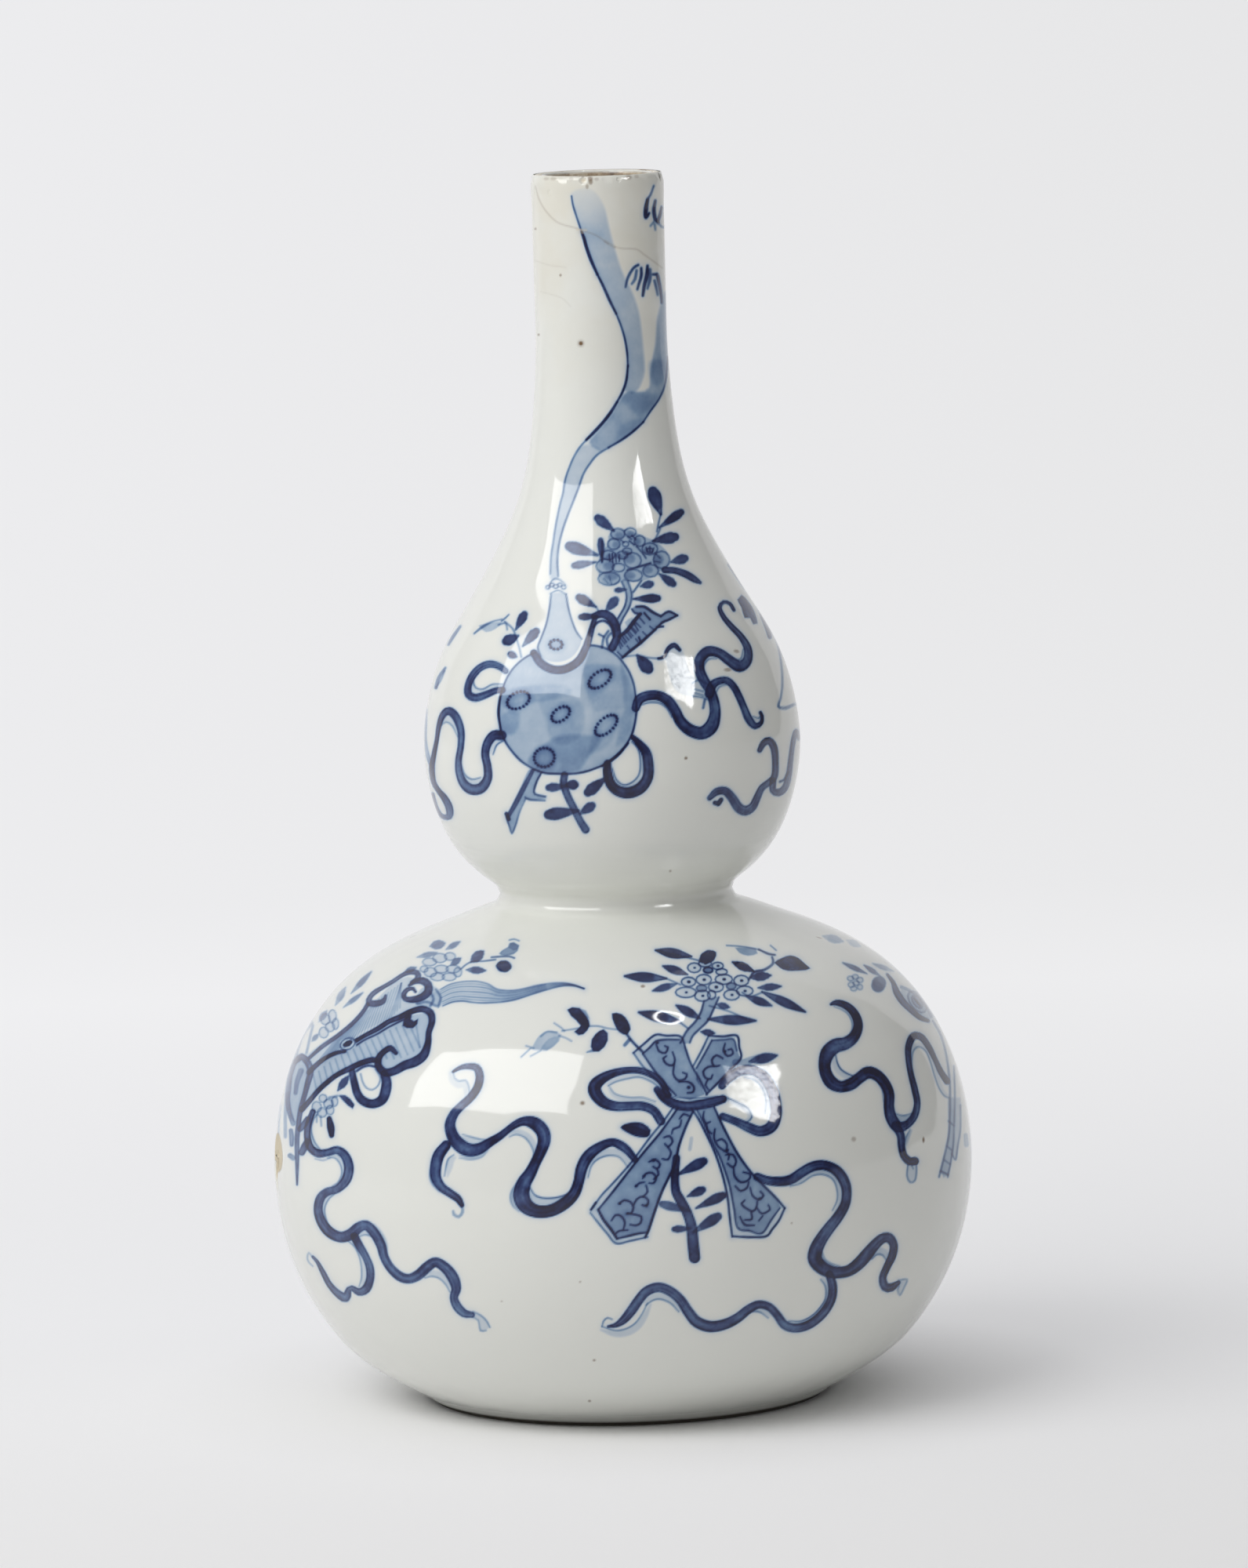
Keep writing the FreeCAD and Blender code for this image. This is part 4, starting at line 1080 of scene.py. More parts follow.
# round florets: middle, half sizes, and the size of the dot in the middle
lower_florets = [
    (885.6,1234.4, 8.5,6.2, 2), (899.4,1229, 8.2,4.4, 2.4), (915.5,1232, 7.2,4.6, 2.8),
    (903.3,1237.4, 6,3.8, 0), (920.5,1239.6, 7.2,4, 0), (878.3,1252.4, 9.2,6, 4),
    (897.8,1249.6, 9.8,6.7, 3.6), (923.3,1249.2, 11,6.4, 3.8), (945.6,1250.8, 9.6,6.8, 3.4),
    (913.3,1259, 9.6,6.3, 4), (875,1265.8, 13.3,6.6, 2.4), (896.1,1270.2, 10,7, 2.8),
    (907.8,1269, 5.2,5.6, 0), (933.3,1269, 10,6.6, 2.8), (950,1264, 10.6,6.3, 3),
]
dark_florets = [(895,1260.6, 6.7,4.3), (932.8,1257.8, 6.2,4.3), (903.3,1237.4, 6,3.6)]
pale_blossoms = [
    (548,1227, 9,5), (561,1222, 9,6), (574,1220, 7,5), (549,1240, 8,6), (563,1236, 9,5),
    (578,1236, 9,5), (558,1246, 9,5), (573,1246, 9,5), (584,1240, 5,6), (541,1236, 5,4),
    (412,1401, 5,5), (404,1412, 6,7), (419,1408, 6,6), (427,1405, 4,6), (411,1419, 6,6),
    (421,1416, 5,6), (415,1300, 6,7), (424,1296, 5,8), (421,1310, 6,6), (413,1317, 6,7),
    (428,1306, 4,7), (1085,1248, 4,3), (1091,1246, 4,3), (1097,1250, 4,3.4), (1086,1256, 4,3.4),
    (1092,1254, 4,3), (1097,1259, 3.4,3.4), (1089,1261, 4,3),
]

# %% Fish drum and whisk at the left side
drum_fills = [
    (0.15, 390,1348, 410,1331, 430,1318, 450,1303, 468,1285, 480,1275, 500,1256, 520,1246, 530,1252,
     520,1262, 520,1275, 530,1278, 542,1284, 520,1290, 500,1297, 480,1307, 460,1317, 440,1333,
     420,1346, 405,1357, 398,1362, 392,1355),
    (0.24, 394,1369, 428,1343, 455,1328, 480,1314, 510,1300, 545,1292, 550,1300, 546,1330, 535,1350,
     505,1362, 490,1362, 484,1352, 470,1354, 455,1360, 440,1366, 425,1374, 410,1387, 398,1400,
     386,1414),
    (0.3, 372,1352, 385,1349, 393,1358, 395,1370, 392,1385, 388,1400, 383,1418, 378,1432, 370,1425,
     367,1405, 369,1380),
    (0.95, 514,1308, 515,1300, 519,1295, 525,1294, 524,1300, 528,1303, 533,1300, 532,1306, 527,1311,
     519,1311),
    (0.10, 560,1262, 575,1256, 590,1253, 603,1252, 615,1253, 625,1257, 632,1262, 640,1264, 655,1264,
     668,1261, 680,1256, 695,1255, 710,1254, 725,1254, 735,1257, 720,1258, 705,1261, 690,1266,
     670,1272, 655,1277, 640,1279, 620,1278, 605,1276, 590,1278, 575,1280, 560,1284, 548,1272),
    (0.2, 536,1262, 548,1258, 560,1262, 562,1282, 545,1283, 530,1280),
]
drum_bands = [
    (0.75, 3, 492,1270, 6, 489,1277, 8, 480,1280, 8, 471,1279, 6, 472,1272, 6, 479,1265,
     5, 489,1259, 5, 501,1252, 5, 513,1244, 6, 523,1240, 7, 532,1241, 7, 533,1248, 4, 525,1253),
    (0.85, 3, 522,1257, 6, 530,1252, 9, 539,1251, 10, 546,1256, 10, 546,1265, 9, 538,1272,
     8, 527,1275, 6, 517,1274, 6, 515,1268, 5, 520,1262, 4, 527,1261, 3, 530,1265),
    (0.75, 4, 395,1349, 5, 411,1335, 5, 431,1321, 5, 449,1306, 5, 462,1292, 5, 469,1281),
    (0.85, 6, 394,1368, 6, 404,1358, 5, 416,1349, 5, 429,1343, 4, 440,1341),
    (0.95, 5, 453,1328, 5, 467,1320, 6, 482,1312, 6, 496,1303, 7, 511,1297, 7, 525,1290,
     8, 539,1287, 9, 549,1292, 8, 551,1303, 7, 547,1317, 8, 546,1330, 11, 541,1345, 12, 530,1354,
     11, 516,1359, 10, 503,1366, 10, 491,1368, 9, 483,1360, 8, 483,1350, 7, 489,1342, 7, 498,1337,
     5, 505,1343),
    (0.8, 2, 455,1333, 2, 466,1326, 2, 481,1319, 2, 496,1310, 2, 514,1301),
    (0.95, 7, 385,1415, 6, 395,1404, 6, 406,1391, 6, 418,1380, 6, 430,1371, 7, 446,1363,
     7, 461,1356, 7, 475,1352, 6, 483,1354),
    (0.88, 8, 449,1367, 9, 452,1381, 10, 456,1395, 11, 463,1404, 11, 475,1408, 12, 487,1403,
     13, 492,1391, 12, 493,1379, 10, 490,1370),
    (0.4, 1.8, 460,1370, 1.8, 463,1381, 1.8, 468,1388, 1.8, 475,1390, 1.8, 482,1385, 1.8, 485,1375,
     1.8, 479,1364),
    (0.7, 3, 455,1366, 3, 463,1361, 3, 472,1359, 3, 479,1361), (0.35, 3, 420,1400, 3, 430,1398),
    (0.35, 2, 404,1422, 2, 404,1431), (0.35, 2, 409,1424, 2, 410,1436),
    (0.55, 1.8, 632,1224, 1.8, 615,1226, 1.8, 604,1226, 1.8, 595,1230, 1.8, 588,1236),
    (0.6, 2, 627,1221, 2, 640,1220, 2, 650,1220, 2, 656,1222),
    (0.4, 2, 650,1199, 2, 656,1198, 2, 662,1200), (0.45, 2, 556,1262, 3, 562,1272, 3, 559,1284),
    (0.45, 2, 548,1264, 3, 553,1274, 3, 549,1283), (0.4, 3, 532,1280, 3, 545,1278, 3, 556,1283),
    (1.0, 6, 420,1427, 9, 422,1438, 6, 423,1448),
    # the things at the left limb
    (0.75, 6, 377,1354, 8, 385,1348, 8, 393,1356, 8, 396,1367, 7, 393,1380, 6, 389,1395,
     6, 384,1413, 6, 381,1432, 6, 379,1452, 5, 379,1480, 2, 379,1511),
    (0.55, 5, 375,1358, 6, 370,1372, 7, 368,1388, 6, 367,1402, 6, 369,1418, 6, 374,1433),
    (0.4, 3, 377,1350, 3, 381,1335, 3, 388,1318, 3, 398,1305),
    (0.35, 3, 391,1343, 3, 395,1325, 3, 399,1308), (0.35, 4, 366,1395, 4, 364,1420, 4, 364,1450),
    (0.3, 2, 358,1410, 2, 356,1430, 2, 355,1452), (0.45, 7, 384,1366, 6, 379,1380, 5, 377,1394),
    (0.75, 7, 383,1440, 8, 388,1434, 6, 392,1427), (0.6, 5, 372,1460, 6, 372,1450, 5, 371,1442),
    (0.75, 8, 385,1470, 9, 389,1462, 6, 392,1455), (0.5, 6, 370,1474, 6, 374,1477),
]
# the drum's two cut ends carry fine hatching between these edges
drum_upper_low = (398,1364, 430,1343, 470,1322, 492,1306, 510,1288)
drum_upper_high = (412,1335, 437,1318, 462,1294, 484,1272, 512,1252)
drum_lower_high = (400,1370, 425,1351, 452,1336, 480,1321, 506,1308, 530,1302)
drum_lower_low = (396,1396, 420,1378, 447,1363, 476,1352, 510,1352, 536,1338)
whisk_high = (
    562,1262, 573,1256, 588,1252.5, 605,1251.7, 620,1254, 630,1260, 640,1263, 657,1263, 673,1260,
    690,1256, 707,1253.7, 723,1254, 737,1257.5, 745,1261)
whisk_low = (
    565,1283, 577,1278, 590,1276.7, 607,1279, 623,1279, 640,1278, 657,1275, 670,1271, 683,1266.7,
    700,1261.7, 717,1257.5, 730,1257.5, 738,1258.5, 745,1261)
# the right limb: a ringed emblem with strips hanging from it
limb_bands = [
    (0.91, 3, 1132,1243, 5, 1139,1253, 8, 1144,1266, 8, 1152,1278, 7, 1163,1289, 6, 1174,1298,
     4, 1184,1302),
    (0.45, 4, 1150,1259, 3, 1160,1263, 3, 1171,1271, 3, 1181,1283, 4, 1188,1296),
    (0.78, 2, 1166,1273, 3, 1170,1278, 2, 1174,1283),
    (0.39, 2, 1148,1240, 2, 1165,1252, 2, 1180,1272, 2, 1192,1296),
    (0.39, 2, 1140,1226, 2, 1158,1240, 2, 1170,1254),
    (0.52, 2.5, 1190,1302, 2.5, 1200,1320, 2.5, 1207,1345, 2.5, 1211,1375, 2.5, 1212,1400,
     2.5, 1211,1440, 2.5, 1208,1460, 2.5, 1203,1481, 2.5, 1198,1501),
    (0.59, 2, 1217,1360, 2, 1218,1400, 2, 1217,1440, 2, 1216,1460, 2, 1213,1481, 2, 1209,1501),
    (0.65, 2.5, 1200,1494, 2.5, 1209,1498),
    (0.52, 2, 1214,1471, 2, 1219,1479, 2, 1222,1460, 2, 1225,1440, 2, 1225,1410),
    (0.33, 5, 1232,1448, 6, 1233,1460), (0.39, 1.5, 1238,1445, 1.5, 1240,1480, 1.5, 1239,1530),
    (0.52, 1.8, 1210,1430, 1.8, 1217,1436), (0.52, 1.8, 1208,1462, 1.8, 1214,1467),
    (0.52, 1.8, 1205,1480, 1.8, 1212,1485),
]
limb_fills = [
    (0.29, 1210,1400, 1217,1400, 1217,1440, 1216,1460, 1209,1500, 1200,1494, 1208,1460, 1210,1440),
    (0.21, 1218,1400, 1225,1400, 1226,1440, 1219,1478, 1215,1470, 1218,1440),
    (0.21, 1150,1262, 1172,1270, 1190,1298, 1172,1296, 1155,1280),
]
# the ring's two ovals: middle, half sizes and turn
limb_ovals = [(1170,1278, 16,8.5, 52), (1170,1278, 9.5,4.5, 52)]

# %% [markdown]
# Now the tables are painted in the order the real painter would take: the pale washes first,
# then the outlines over them, and the darkest leaves and ribbons last.

# %% Paint the neck and the upper bulb
vapour_left, vapour_right = 722, 800
palest_y, full_y = 240, 300
palest_share = 0.25


def fade_vapour(view):
    """Thins the colour towards the top, as wet cobalt that ran out."""
    inside = (view.x > vapour_left) & (view.x < vapour_right) & (view.y < full_y)
    share = np.clip((view.y[inside] - palest_y) / (full_y - palest_y), 0, 1)
    cobalt[view.steps[inside]] *= palest_share + (1 - palest_share) * share


def paint_neck(view):
    each(wash, view, neck_fills[:3], soft=2.6)
    each(wash, view, neck_fills[3:], soft=4.5)
    fade_vapour(view)
    each(line, view, neck_lines)


def paint_gourd(view):
    each(wash, view, gourd_fills)
    each(wash, view, gourd_streaks, soft=3.5)
    each(line, view, gourd_lines)
    each(band, view, gourd_bands)
    each(dots, view, gourd_ovals)
    for row in gourd_collar:
        oval(view, *row, tone=0.6, width=1.4, fill=0)


def paint_upper_spray(view):
    each(wash, view, upper_spray_fills)
    each(line, view, rootlet_lines)
    each(petal, view, upper_petals)
    for row in upper_eyes:
        oval(view, *row, tone=0.65, width=1.4, fill=0)
    each(line, view, petal_strokes)
    each(band, view, upper_spray_bands)
    each(touch, view, upper_leaves)


def paint_upper_ribbons(view, ribbons=upper_ribbons):
    each(ribbon, view, ribbons)
    each(back_of_ribbon, view, upper_ribbon_backs)
    each(wash, view, stem_fills)
    each(line, view, stem_lines)
    each(band, view, stem_bands)
    each(touch, view, stem_leaves)


for paint in (paint_neck, paint_gourd, paint_upper_spray, paint_upper_ribbons):
    paint(front)
each(band, front, upper_limb_bands)
each(band, front, neck_flights, soft=1.7)
print("upper bulb painted:", int((cobalt > 0.05).sum()), "steps")


# %% [markdown]
# The lower bulb has the castanets with their long ribbons in the middle, the drum with its
# whisk at the left edge, and part of another emblem at the right edge.

# %% Paint the lower bulb
def paint_castanets(view):
    each(wash, view, castanet_fills, smooth=False)
    each(line, view, castanet_lines)
    for points in castanet_scrolls:
        line(view, 2.1, 0.85, *points)
    for x, y, size in castanet_dots:
        line(view, size * 1.4, 0.95, x, y, x + 1, y)


def paint_twig(view):
    each(wash, view, twig_fills)
    each(band, view, twig_bands)


def paint_lower_spray(view):
    each(wash, view, lower_fills)
    for x, y, across, down, dot in lower_florets:
        oval(view, x, y, across, down, tone=0.72, width=1.5, fill=0.09)
        if dot:
            line(view, dot, 1.0, x, y, x + 1, y)
    for row in dark_florets:
        oval(view, *row, tone=0.6, width=1.5, fill=0.42)
    each(band, view, lower_bands)
    each(leaf, view, lower_leaves)
    each(touch, view, stem_touches)


def paint_lower_ribbons(view):
    each(ribbon, view, lower_ribbons)
    each(back_of_ribbon, view, lower_ribbon_backs)
    each(wash, view, lower_ribbon_end_fills)
    each(line, view, lower_ribbon_ends)


def paint_outer_ribbons(view):
    each(ribbon, view, limb_ribbons + drum_ribbons)
    each(back_of_ribbon, view, limb_ribbon_backs + drum_ribbon_backs)
    each(wash, view, outer_ribbon_end_fills + outer_fills)
    each(line, view, outer_ribbon_ends)
    each(leaf, view, outer_leaves)
    for row in pale_blossoms:
        oval(view, *row, tone=0.42, width=1.3, fill=0.14)


def between(low, high, share, count):
    """A line that runs along two others, at a share of the way between them."""
    edges = []
    for points in (low, high):
        path = rounded(pairs(points), gap=2)
        length = np.append(0, np.cumsum(np.hypot(*np.diff(path, axis=0).T)))
        at = np.linspace(0, length[-1], count)
        edges.append(np.column_stack([np.interp(at, length, path[:, i]) for i in (0, 1)]))
    return edges[0] + share * (edges[1] - edges[0])


hatch_from, hatch_to = 0.06, 0.94  # shares of the way between the two edges


def hatch(view, low, high, count, lean, width, tone):
    """Strokes from one edge to the other, leaning by a number of strokes."""
    first, last = (between(low, high, share, count) for share in (hatch_from, hatch_to))
    for i in range(count):
        j = min(max(i + lean, 0), count - 1)
        line(view, width, tone, *first[i], *last[j])


whisk_hair_tones = (0.5, 0.3, 0.4, 0.22, 0.42, 0.22, 0.42, 0.3, 0.6)
whisk_points, shorter_by = 16, 4  # every other hair of the whisk ends early
drum_stud = (443.5, 1331.5, 10, 7)
drum_stud_band = (0.9, 5, 440,1333, 7, 444,1331, 5, 447,1329)


def paint_drum_and_limb(view):
    each(wash, view, drum_fills)
    hatch(view, drum_upper_low, drum_upper_high, 27, 4, 1.3, 0.3)
    hatch(view, drum_lower_high, drum_lower_low, 18, 1, 2.4, 0.24)
    for i, tone in enumerate(whisk_hair_tones):
        path = between(whisk_high, whisk_low, i / (len(whisk_hair_tones) - 1), whisk_points)
        line(view, 1.5, tone, *path[:whisk_points - shorter_by * (i % 2)].ravel())
    each(band, view, drum_bands)
    lift(view, *drum_stud)
    oval(view, *drum_stud, tone=0.6, width=1.6, fill=0.1, turn_degrees=-25)
    band(view, *drum_stud_band)
    each(wash, view, limb_fills)
    each(band, view, limb_bands)
    for x, y, across, down, turn_degrees in limb_ovals:
        oval(view, x, y, across, down, 0.55, 1.6, 0.14, turn_degrees)


for paint in (paint_castanets, paint_twig, paint_lower_spray, paint_lower_ribbons,
              paint_outer_ribbons, paint_drum_and_limb):
    paint(front)
print("all painted so far:", int((cobalt > 0.05).sum()), "steps")

# %% [markdown]
# The glaze has marks of the kiln and of age: iron specks that burned brown, a hairline crack
# on the neck that took up dirt, and brown spots under the mouth where the glaze wore thin.

# %% Specks, stains and a crack
# how strong, middle across and down, half sizes
spots = [
    (0.75, 744,223, 8,2.6), (0.6, 753,228, 3.2,3), (0.65, 753.5,232, 2.6,3.4), (0.45, 749,238, 2,3),
    (0.3, 706,228, 4,2.2), (0.28, 697,228, 3.4,2), (0.3, 728.5,228.5, 3,2), (0.3, 761,228.5, 3,2),
    (0.45, 802,226, 4,3), (0.3, 812,225, 3,2), (0.3, 741,438, 4.6,4.6), (0.98, 741,438, 2.6,2.6),
    (0.7, 715,351, 1.6,1.6), (0.6, 683,292, 1.6,1.4), (0.6, 687,427, 1.6,1.6), (0.85, 875,967, 2,2),
    (0.5, 855,1111, 1.6,1.6), (0.6, 758,1735, 2,1.6), (0.6, 752,1787, 2,1.6),
    (0.7, 743,1407, 3,2.6), (0.5, 743,1407, 1.4,1.4), (0.7, 820,1258, 2.8,2),
    (0.45, 1089,1453, 3,3), (0.4, 740,1635, 1.6,1.4), (0.95, 1178,1454, 1.4,3.6),
    (0.4, 640,1660, 1.4,1.2), (0.5, 1010,1560, 1.4,1.4),
]
crack = [
    (1.8, 0.3, 683,238, 688,255, 697,270, 712,284, 735,291, 742,294),
    (2.0, 0.3, 742,294, 760,300, 776,311), (5.0, 0.24, 772,308, 784,315),
    (2.0, 0.28, 784,315, 795,317, 812,318, 822,325, 836,335, 845,342),
    (1.4, 0.14, 676,330, 700,338, 722,341), (1.4, 0.12, 690,372, 716,380, 728,391),
]

spot_end, spot_fade = 1.35, 0.7  # shares of the spot's half size


def spot(view, strength, x0, y0, across, down):
    """A soft round mark in the glaze."""
    away = np.hypot((view.x - x0) / across, (view.y - y0) / down)
    near = away < spot_end
    share = strength * np.clip((spot_end - away[near]) / spot_fade, 0, 1)
    steps = view.steps[near]
    stain[steps] = 1 - (1 - stain[steps]) * (1 - share)


# above the flake on the belly the glaze also came off, thinly
flaked = np.zeros(len(every["turn"]))
# drawn with the vase's left side turned to the front
flake = (
    826,1513, 834,1499, 850,1493, 866,1491, 884,1494, 899,1503, 907,1515, 903,1527, 890,1535,
    872,1538, 858,1533, 842,1537, 830,1527)
# two short pale marks across the neck beside the crack, coloured as bare clay
pale_marks = [(2.2, 0.7, 736,293, 748,293.5), (1.6, 0.5, 738,296.5, 745,296.5)]
each(spot, front, spots)
each(line, front, crack, channel=stain)
each(line, front, pale_marks, channel=flaked)
left_side = turned(-90)
wash(left_side, 0.9, *flake, channel=flaked, soft=1.0)
# a dark line round the flake's edge
line(left_side, 3, 0.5, *flake, *flake[:2], channel=stain)
# specks are strewn on the far sides too: how far across and down, and how large
speck_across, speck_down, speck_size = (560, 1000), (700, 1750), (1.2, 2.4)
specks_a_side, speck_strength = 9, 0.6
chance = np.random.default_rng(11)
for degrees in (110, 180, 250):
    far_side = turned(degrees)
    for _ in range(specks_a_side):
        x, y, size = (chance.uniform(*span) for span in (speck_across, speck_down, speck_size))
        spot(far_side, speck_strength, x, y, size, size)
print("steps with a stain:", int((stain > 0.05).sum()))

# %% [markdown]
# The rest of the vase is painted in the same hand. Sprays and ribbons come back on the far
# side, each time with another lucky emblem: a flower basket, a flute crossed with a sword, a
# palm leaf fan, and a lotus on the upper bulb. Each group is drawn as it would be seen if
# that side of the vase were turned to the front, so the brush tables are used again.

# %% Emblems for the far side
basket_body = (806,1452, 954,1452, 946,1500, 934,1552, 912,1566, 848,1566, 826,1552, 813,1500)
basket_bands = [
    (0.85, 7, 816,1448, 7, 814,1412, 7, 826,1372, 7, 852,1345, 7, 880,1337, 7, 908,1345,
     7, 934,1372, 7, 946,1412, 7, 944,1448),
    (0.9, 9, 800,1452, 10, 840,1458, 10, 880,1460, 10, 920,1458, 9, 960,1452),
    (0.85, 3, 806,1456, 3, 813,1500, 3, 826,1552), (0.85, 3, 954,1456, 3, 946,1500, 3, 934,1552),
    (0.9, 8, 822,1556, 9, 850,1566, 9, 880,1569, 9, 910,1566, 8, 938,1556),
    (0.8, 5, 832,1572, 5, 834,1584), (0.8, 5, 928,1572, 5, 926,1584),
    (0.8, 5, 880,1576, 5, 880,1587),
]
basket_flowers = [(836,1436), (880,1428), (924,1436), (858,1418), (902,1418)]
fan_outline = (
    800,1524, 764,1508, 732,1474, 716,1428, 722,1380, 750,1342, 784,1328, 800,1338, 816,1328,
    850,1342, 878,1380, 884,1428, 868,1474, 836,1508)
fan_bands = [
    (0.9, 8, 800,1520, 7, 801,1560, 7, 800,1600, 8, 799,1622),
    (0.9, 5, 800,1520, 9, 782,1514, 10, 764,1526, 9, 768,1542, 6, 790,1536, 5, 800,1528),
    (0.9, 5, 800,1524, 9, 820,1514, 10, 838,1526, 9, 832,1542, 6, 812,1536, 5, 800,1530),
    (0.85, 6, 796,1532, 8, 778,1560, 8, 786,1590, 7, 770,1616, 5, 756,1626),
    (0.85, 6, 804,1532, 8, 826,1556, 8, 820,1588, 7, 838,1610, 5, 852,1616),
]
sword_bands = [
    (0.9, 9, 802,1546, 10, 816,1556, 9, 830,1566), (0.9, 10, 812,1562, 9, 800,1580, 8, 792,1592),
    (0.9, 3, 788,1596, 8, 783,1604, 3, 779,1611),
    (0.8, 4, 790,1600, 5, 772,1604, 5, 764,1620, 4, 770,1636),
]
sword_blade = (948,1326, 958,1322, 956,1338, 826,1560, 810,1549)
flute = (800,1340, 814,1331, 972,1566, 957,1576)
flute_holes = [(835,1378), (852,1403), (906,1482), (919,1501), (932,1521), (945,1540)]
flute_rings = [(812,1347), (825,1366), (948,1549), (961,1568)]
lotus_petals = [
    (668,874, 670,842, 690,818, 710,850, 704,880), (782,874, 780,842, 760,818, 740,850, 746,880),
    (692,982, 655,980, 622,960, 602,926, 640,934, 672,956),
    (758,982, 795,980, 828,960, 848,926, 810,934, 778,956),
    (706,980, 675,968, 648,936, 640,898, 657,866, 682,896, 698,936),
    (744,980, 775,968, 802,936, 810,898, 793,866, 768,896, 752,936),
    (725,988, 702,964, 690,926, 698,888, 725,846, 752,888, 760,926, 748,964),
]
lotus_veins = [
    (725,975, 725,930, 725,880), (716,970, 708,930, 714,894), (734,970, 742,930, 736,894),
    (696,964, 668,926, 658,890), (754,964, 782,926, 792,890), (684,972, 652,962, 626,942),
    (766,972, 798,962, 824,942), (694,866, 690,845), (756,866, 760,845),
]
lotus_seeds = [(703,842), (714,847), (725,839), (736,847), (747,842), (725,849)]
lotus_left_ribbon = (
    0.85, 12, 640,938, 12, 630,938, 11, 622,948, 10, 619,962, 10, 622,978, 11, 622,993,
    13, 614,1005, 13, 602,1007, 11, 592,1000, 9, 586,986, 8, 585,970, 8, 588,950, 9, 588,932,
    10, 582,915, 9, 574,906, 7, 566,910, 5, 561,922, 3, 560,934)
# what the camera sees only the near end of, at the right and left edge of the vase
right_edge_bands = [
    (0.55, 8, 735,865, 8, 760,850, 8, 783,842, 6, 805,838, 3, 824,846),
    (0.55, 4, 745,927, 4, 780,929, 3, 800,926, 2, 815,918),
    (0.62, 15, 735,966, 15, 760,966, 14, 780,969, 12, 800,975, 9, 815,966, 6, 823,951, 3, 822,938),
    (0.85, 8, 775,1322, 9, 800,1328, 9, 830,1336, 7, 852,1348, 6, 842,1362, 8, 815,1368,
     8, 775,1366),
]
right_edge_fills = [
    (0.8, 752,736, 775,734, 795,742, 806,758, 792,772, 772,770, 758,756),
    (0.8, 724,834, 740,815, 765,802, 790,798, 812,806, 822,820, 806,832, 780,834, 750,836),
    (0.35, 765,1275, 800,1285, 830,1300, 848,1312, 836,1318, 806,1312, 780,1298),
    (0.4, 740,1318, 800,1328, 835,1336, 850,1348, 842,1362, 815,1368, 740,1366),
    (0.2, 742,1530, 785,1521, 806,1528, 812,1542, 800,1562, 782,1583, 768,1592, 762,1580, 750,1560),
    # the vapour's second branch goes on round the neck
    (0.3, 750,470, 752,400, 767,385, 774,340, 780,290, 786,248, 804,244, 812,250, 809,300, 800,350,
     790,400, 776,440, 764,462),
]
right_edge_lines = [
    (2.6, 0.85, 735,497, 752,480, 764,466, 776,440, 790,400, 800,350, 809,300, 813,256),
]
left_edge_bands = [
    (0.8, 26, 825,1040, 26, 805,1040, 22, 790,1042, 16, 774,1041, 9, 758,1035, 4, 747,1026),
    (0.6, 20, 830,1410, 22, 800,1404, 20, 780,1401, 14, 758,1400, 6, 738,1408, 3, 728,1418),
]
left_edge_fills = [
    (0.5, 742,952, 756,936, 778,926, 800,922, 822,942, 822,960, 800,952, 778,950, 758,956),
    (0.33, 722,1392, 735,1368, 755,1352, 790,1345, 830,1345, 830,1372, 800,1378, 770,1380,
     742,1388),
    (0.25, 758,1486, 772,1470, 798,1459, 840,1458, 850,1488, 815,1484, 785,1482),
]


# %% Paint the far side
def outlined(view, tone, line_tone, width, corners):
    """A closed shape with a wash inside and a brush line round it."""
    wipe(view, *corners)
    wash(view, tone, *corners, smooth=False)
    line(view, width, line_tone, *corners, *corners[:2])


basket_top, basket_bend, basket_foot = 1462, 1500, 1556
first_stave, stave_gap = 822, 14.5
first_hoop, hoop_gap = 1476, 15
hoop_left, hoop_middle, hoop_right = 812, 880, 948
sword_ridge = (950,1334, 818,1553)
fan_middle, fan_hub_height, fan_leaf_height = 800, 1510, 1462
fan_hub, fan_reach_across, fan_reach_up = 14, 88, 128
lotus_heart = (694,846, 700,872, 725,878, 750,872, 756,846, 725,836)
seed_head = (725, 842, 32, 12)


def paint_basket(view):
    outlined(view, 0.36, 0.5, 2.0, basket_body)
    for i in range(9):
        x = first_stave + stave_gap * i
        line(view, 1.7, 0.6, x, basket_top, x - 10 + i, basket_bend, x - 14 + 2 * i, basket_foot)
    for i in range(6):
        y = first_hoop + hoop_gap * i
        line(view, 1.7, 0.6, hoop_left + 2 * i, y, hoop_middle, y + 5, hoop_right - 2 * i, y)
    for x, y in basket_flowers:
        lift(view, x, y, 17, 12)
        for a in np.radians(range(0, 360, 72)):
            oval(view, x + 10 * math.cos(a), y + 7 * math.sin(a), 7, 5,
                 tone=0.7, width=1.5, fill=0.25)
        oval(view, x, y, 4, 3, tone=0.9, width=2, fill=0.5)
    each(band, view, basket_bands)


def paint_sword_and_flute(view):
    outlined(view, 0.24, 0.85, 2.2, sword_blade)
    line(view, 1.8, 0.6, *sword_ridge)
    each(band, view, sword_bands)
    outlined(view, 0.46, 0.85, 2.4, flute)
    for x, y in flute_holes:
        oval(view, x, y, 3.4, 3, tone=0.95, width=2.6, fill=0.9)
    for x, y in flute_rings:
        line(view, 3, 0.85, x - 8, y + 4, x + 7, y - 6)


def paint_fan(view):
    outlined(view, 0.3, 0.85, 2.6, fan_outline)
    for a in np.radians(range(-150, -29, 12)):
        across, up = math.cos(a), math.sin(a)
        line(view, 1.8, 0.6, fan_middle + fan_hub * across, fan_hub_height + fan_hub * up,
             fan_middle + fan_reach_across * across, fan_leaf_height + fan_reach_up * up)
    each(band, view, fan_bands)


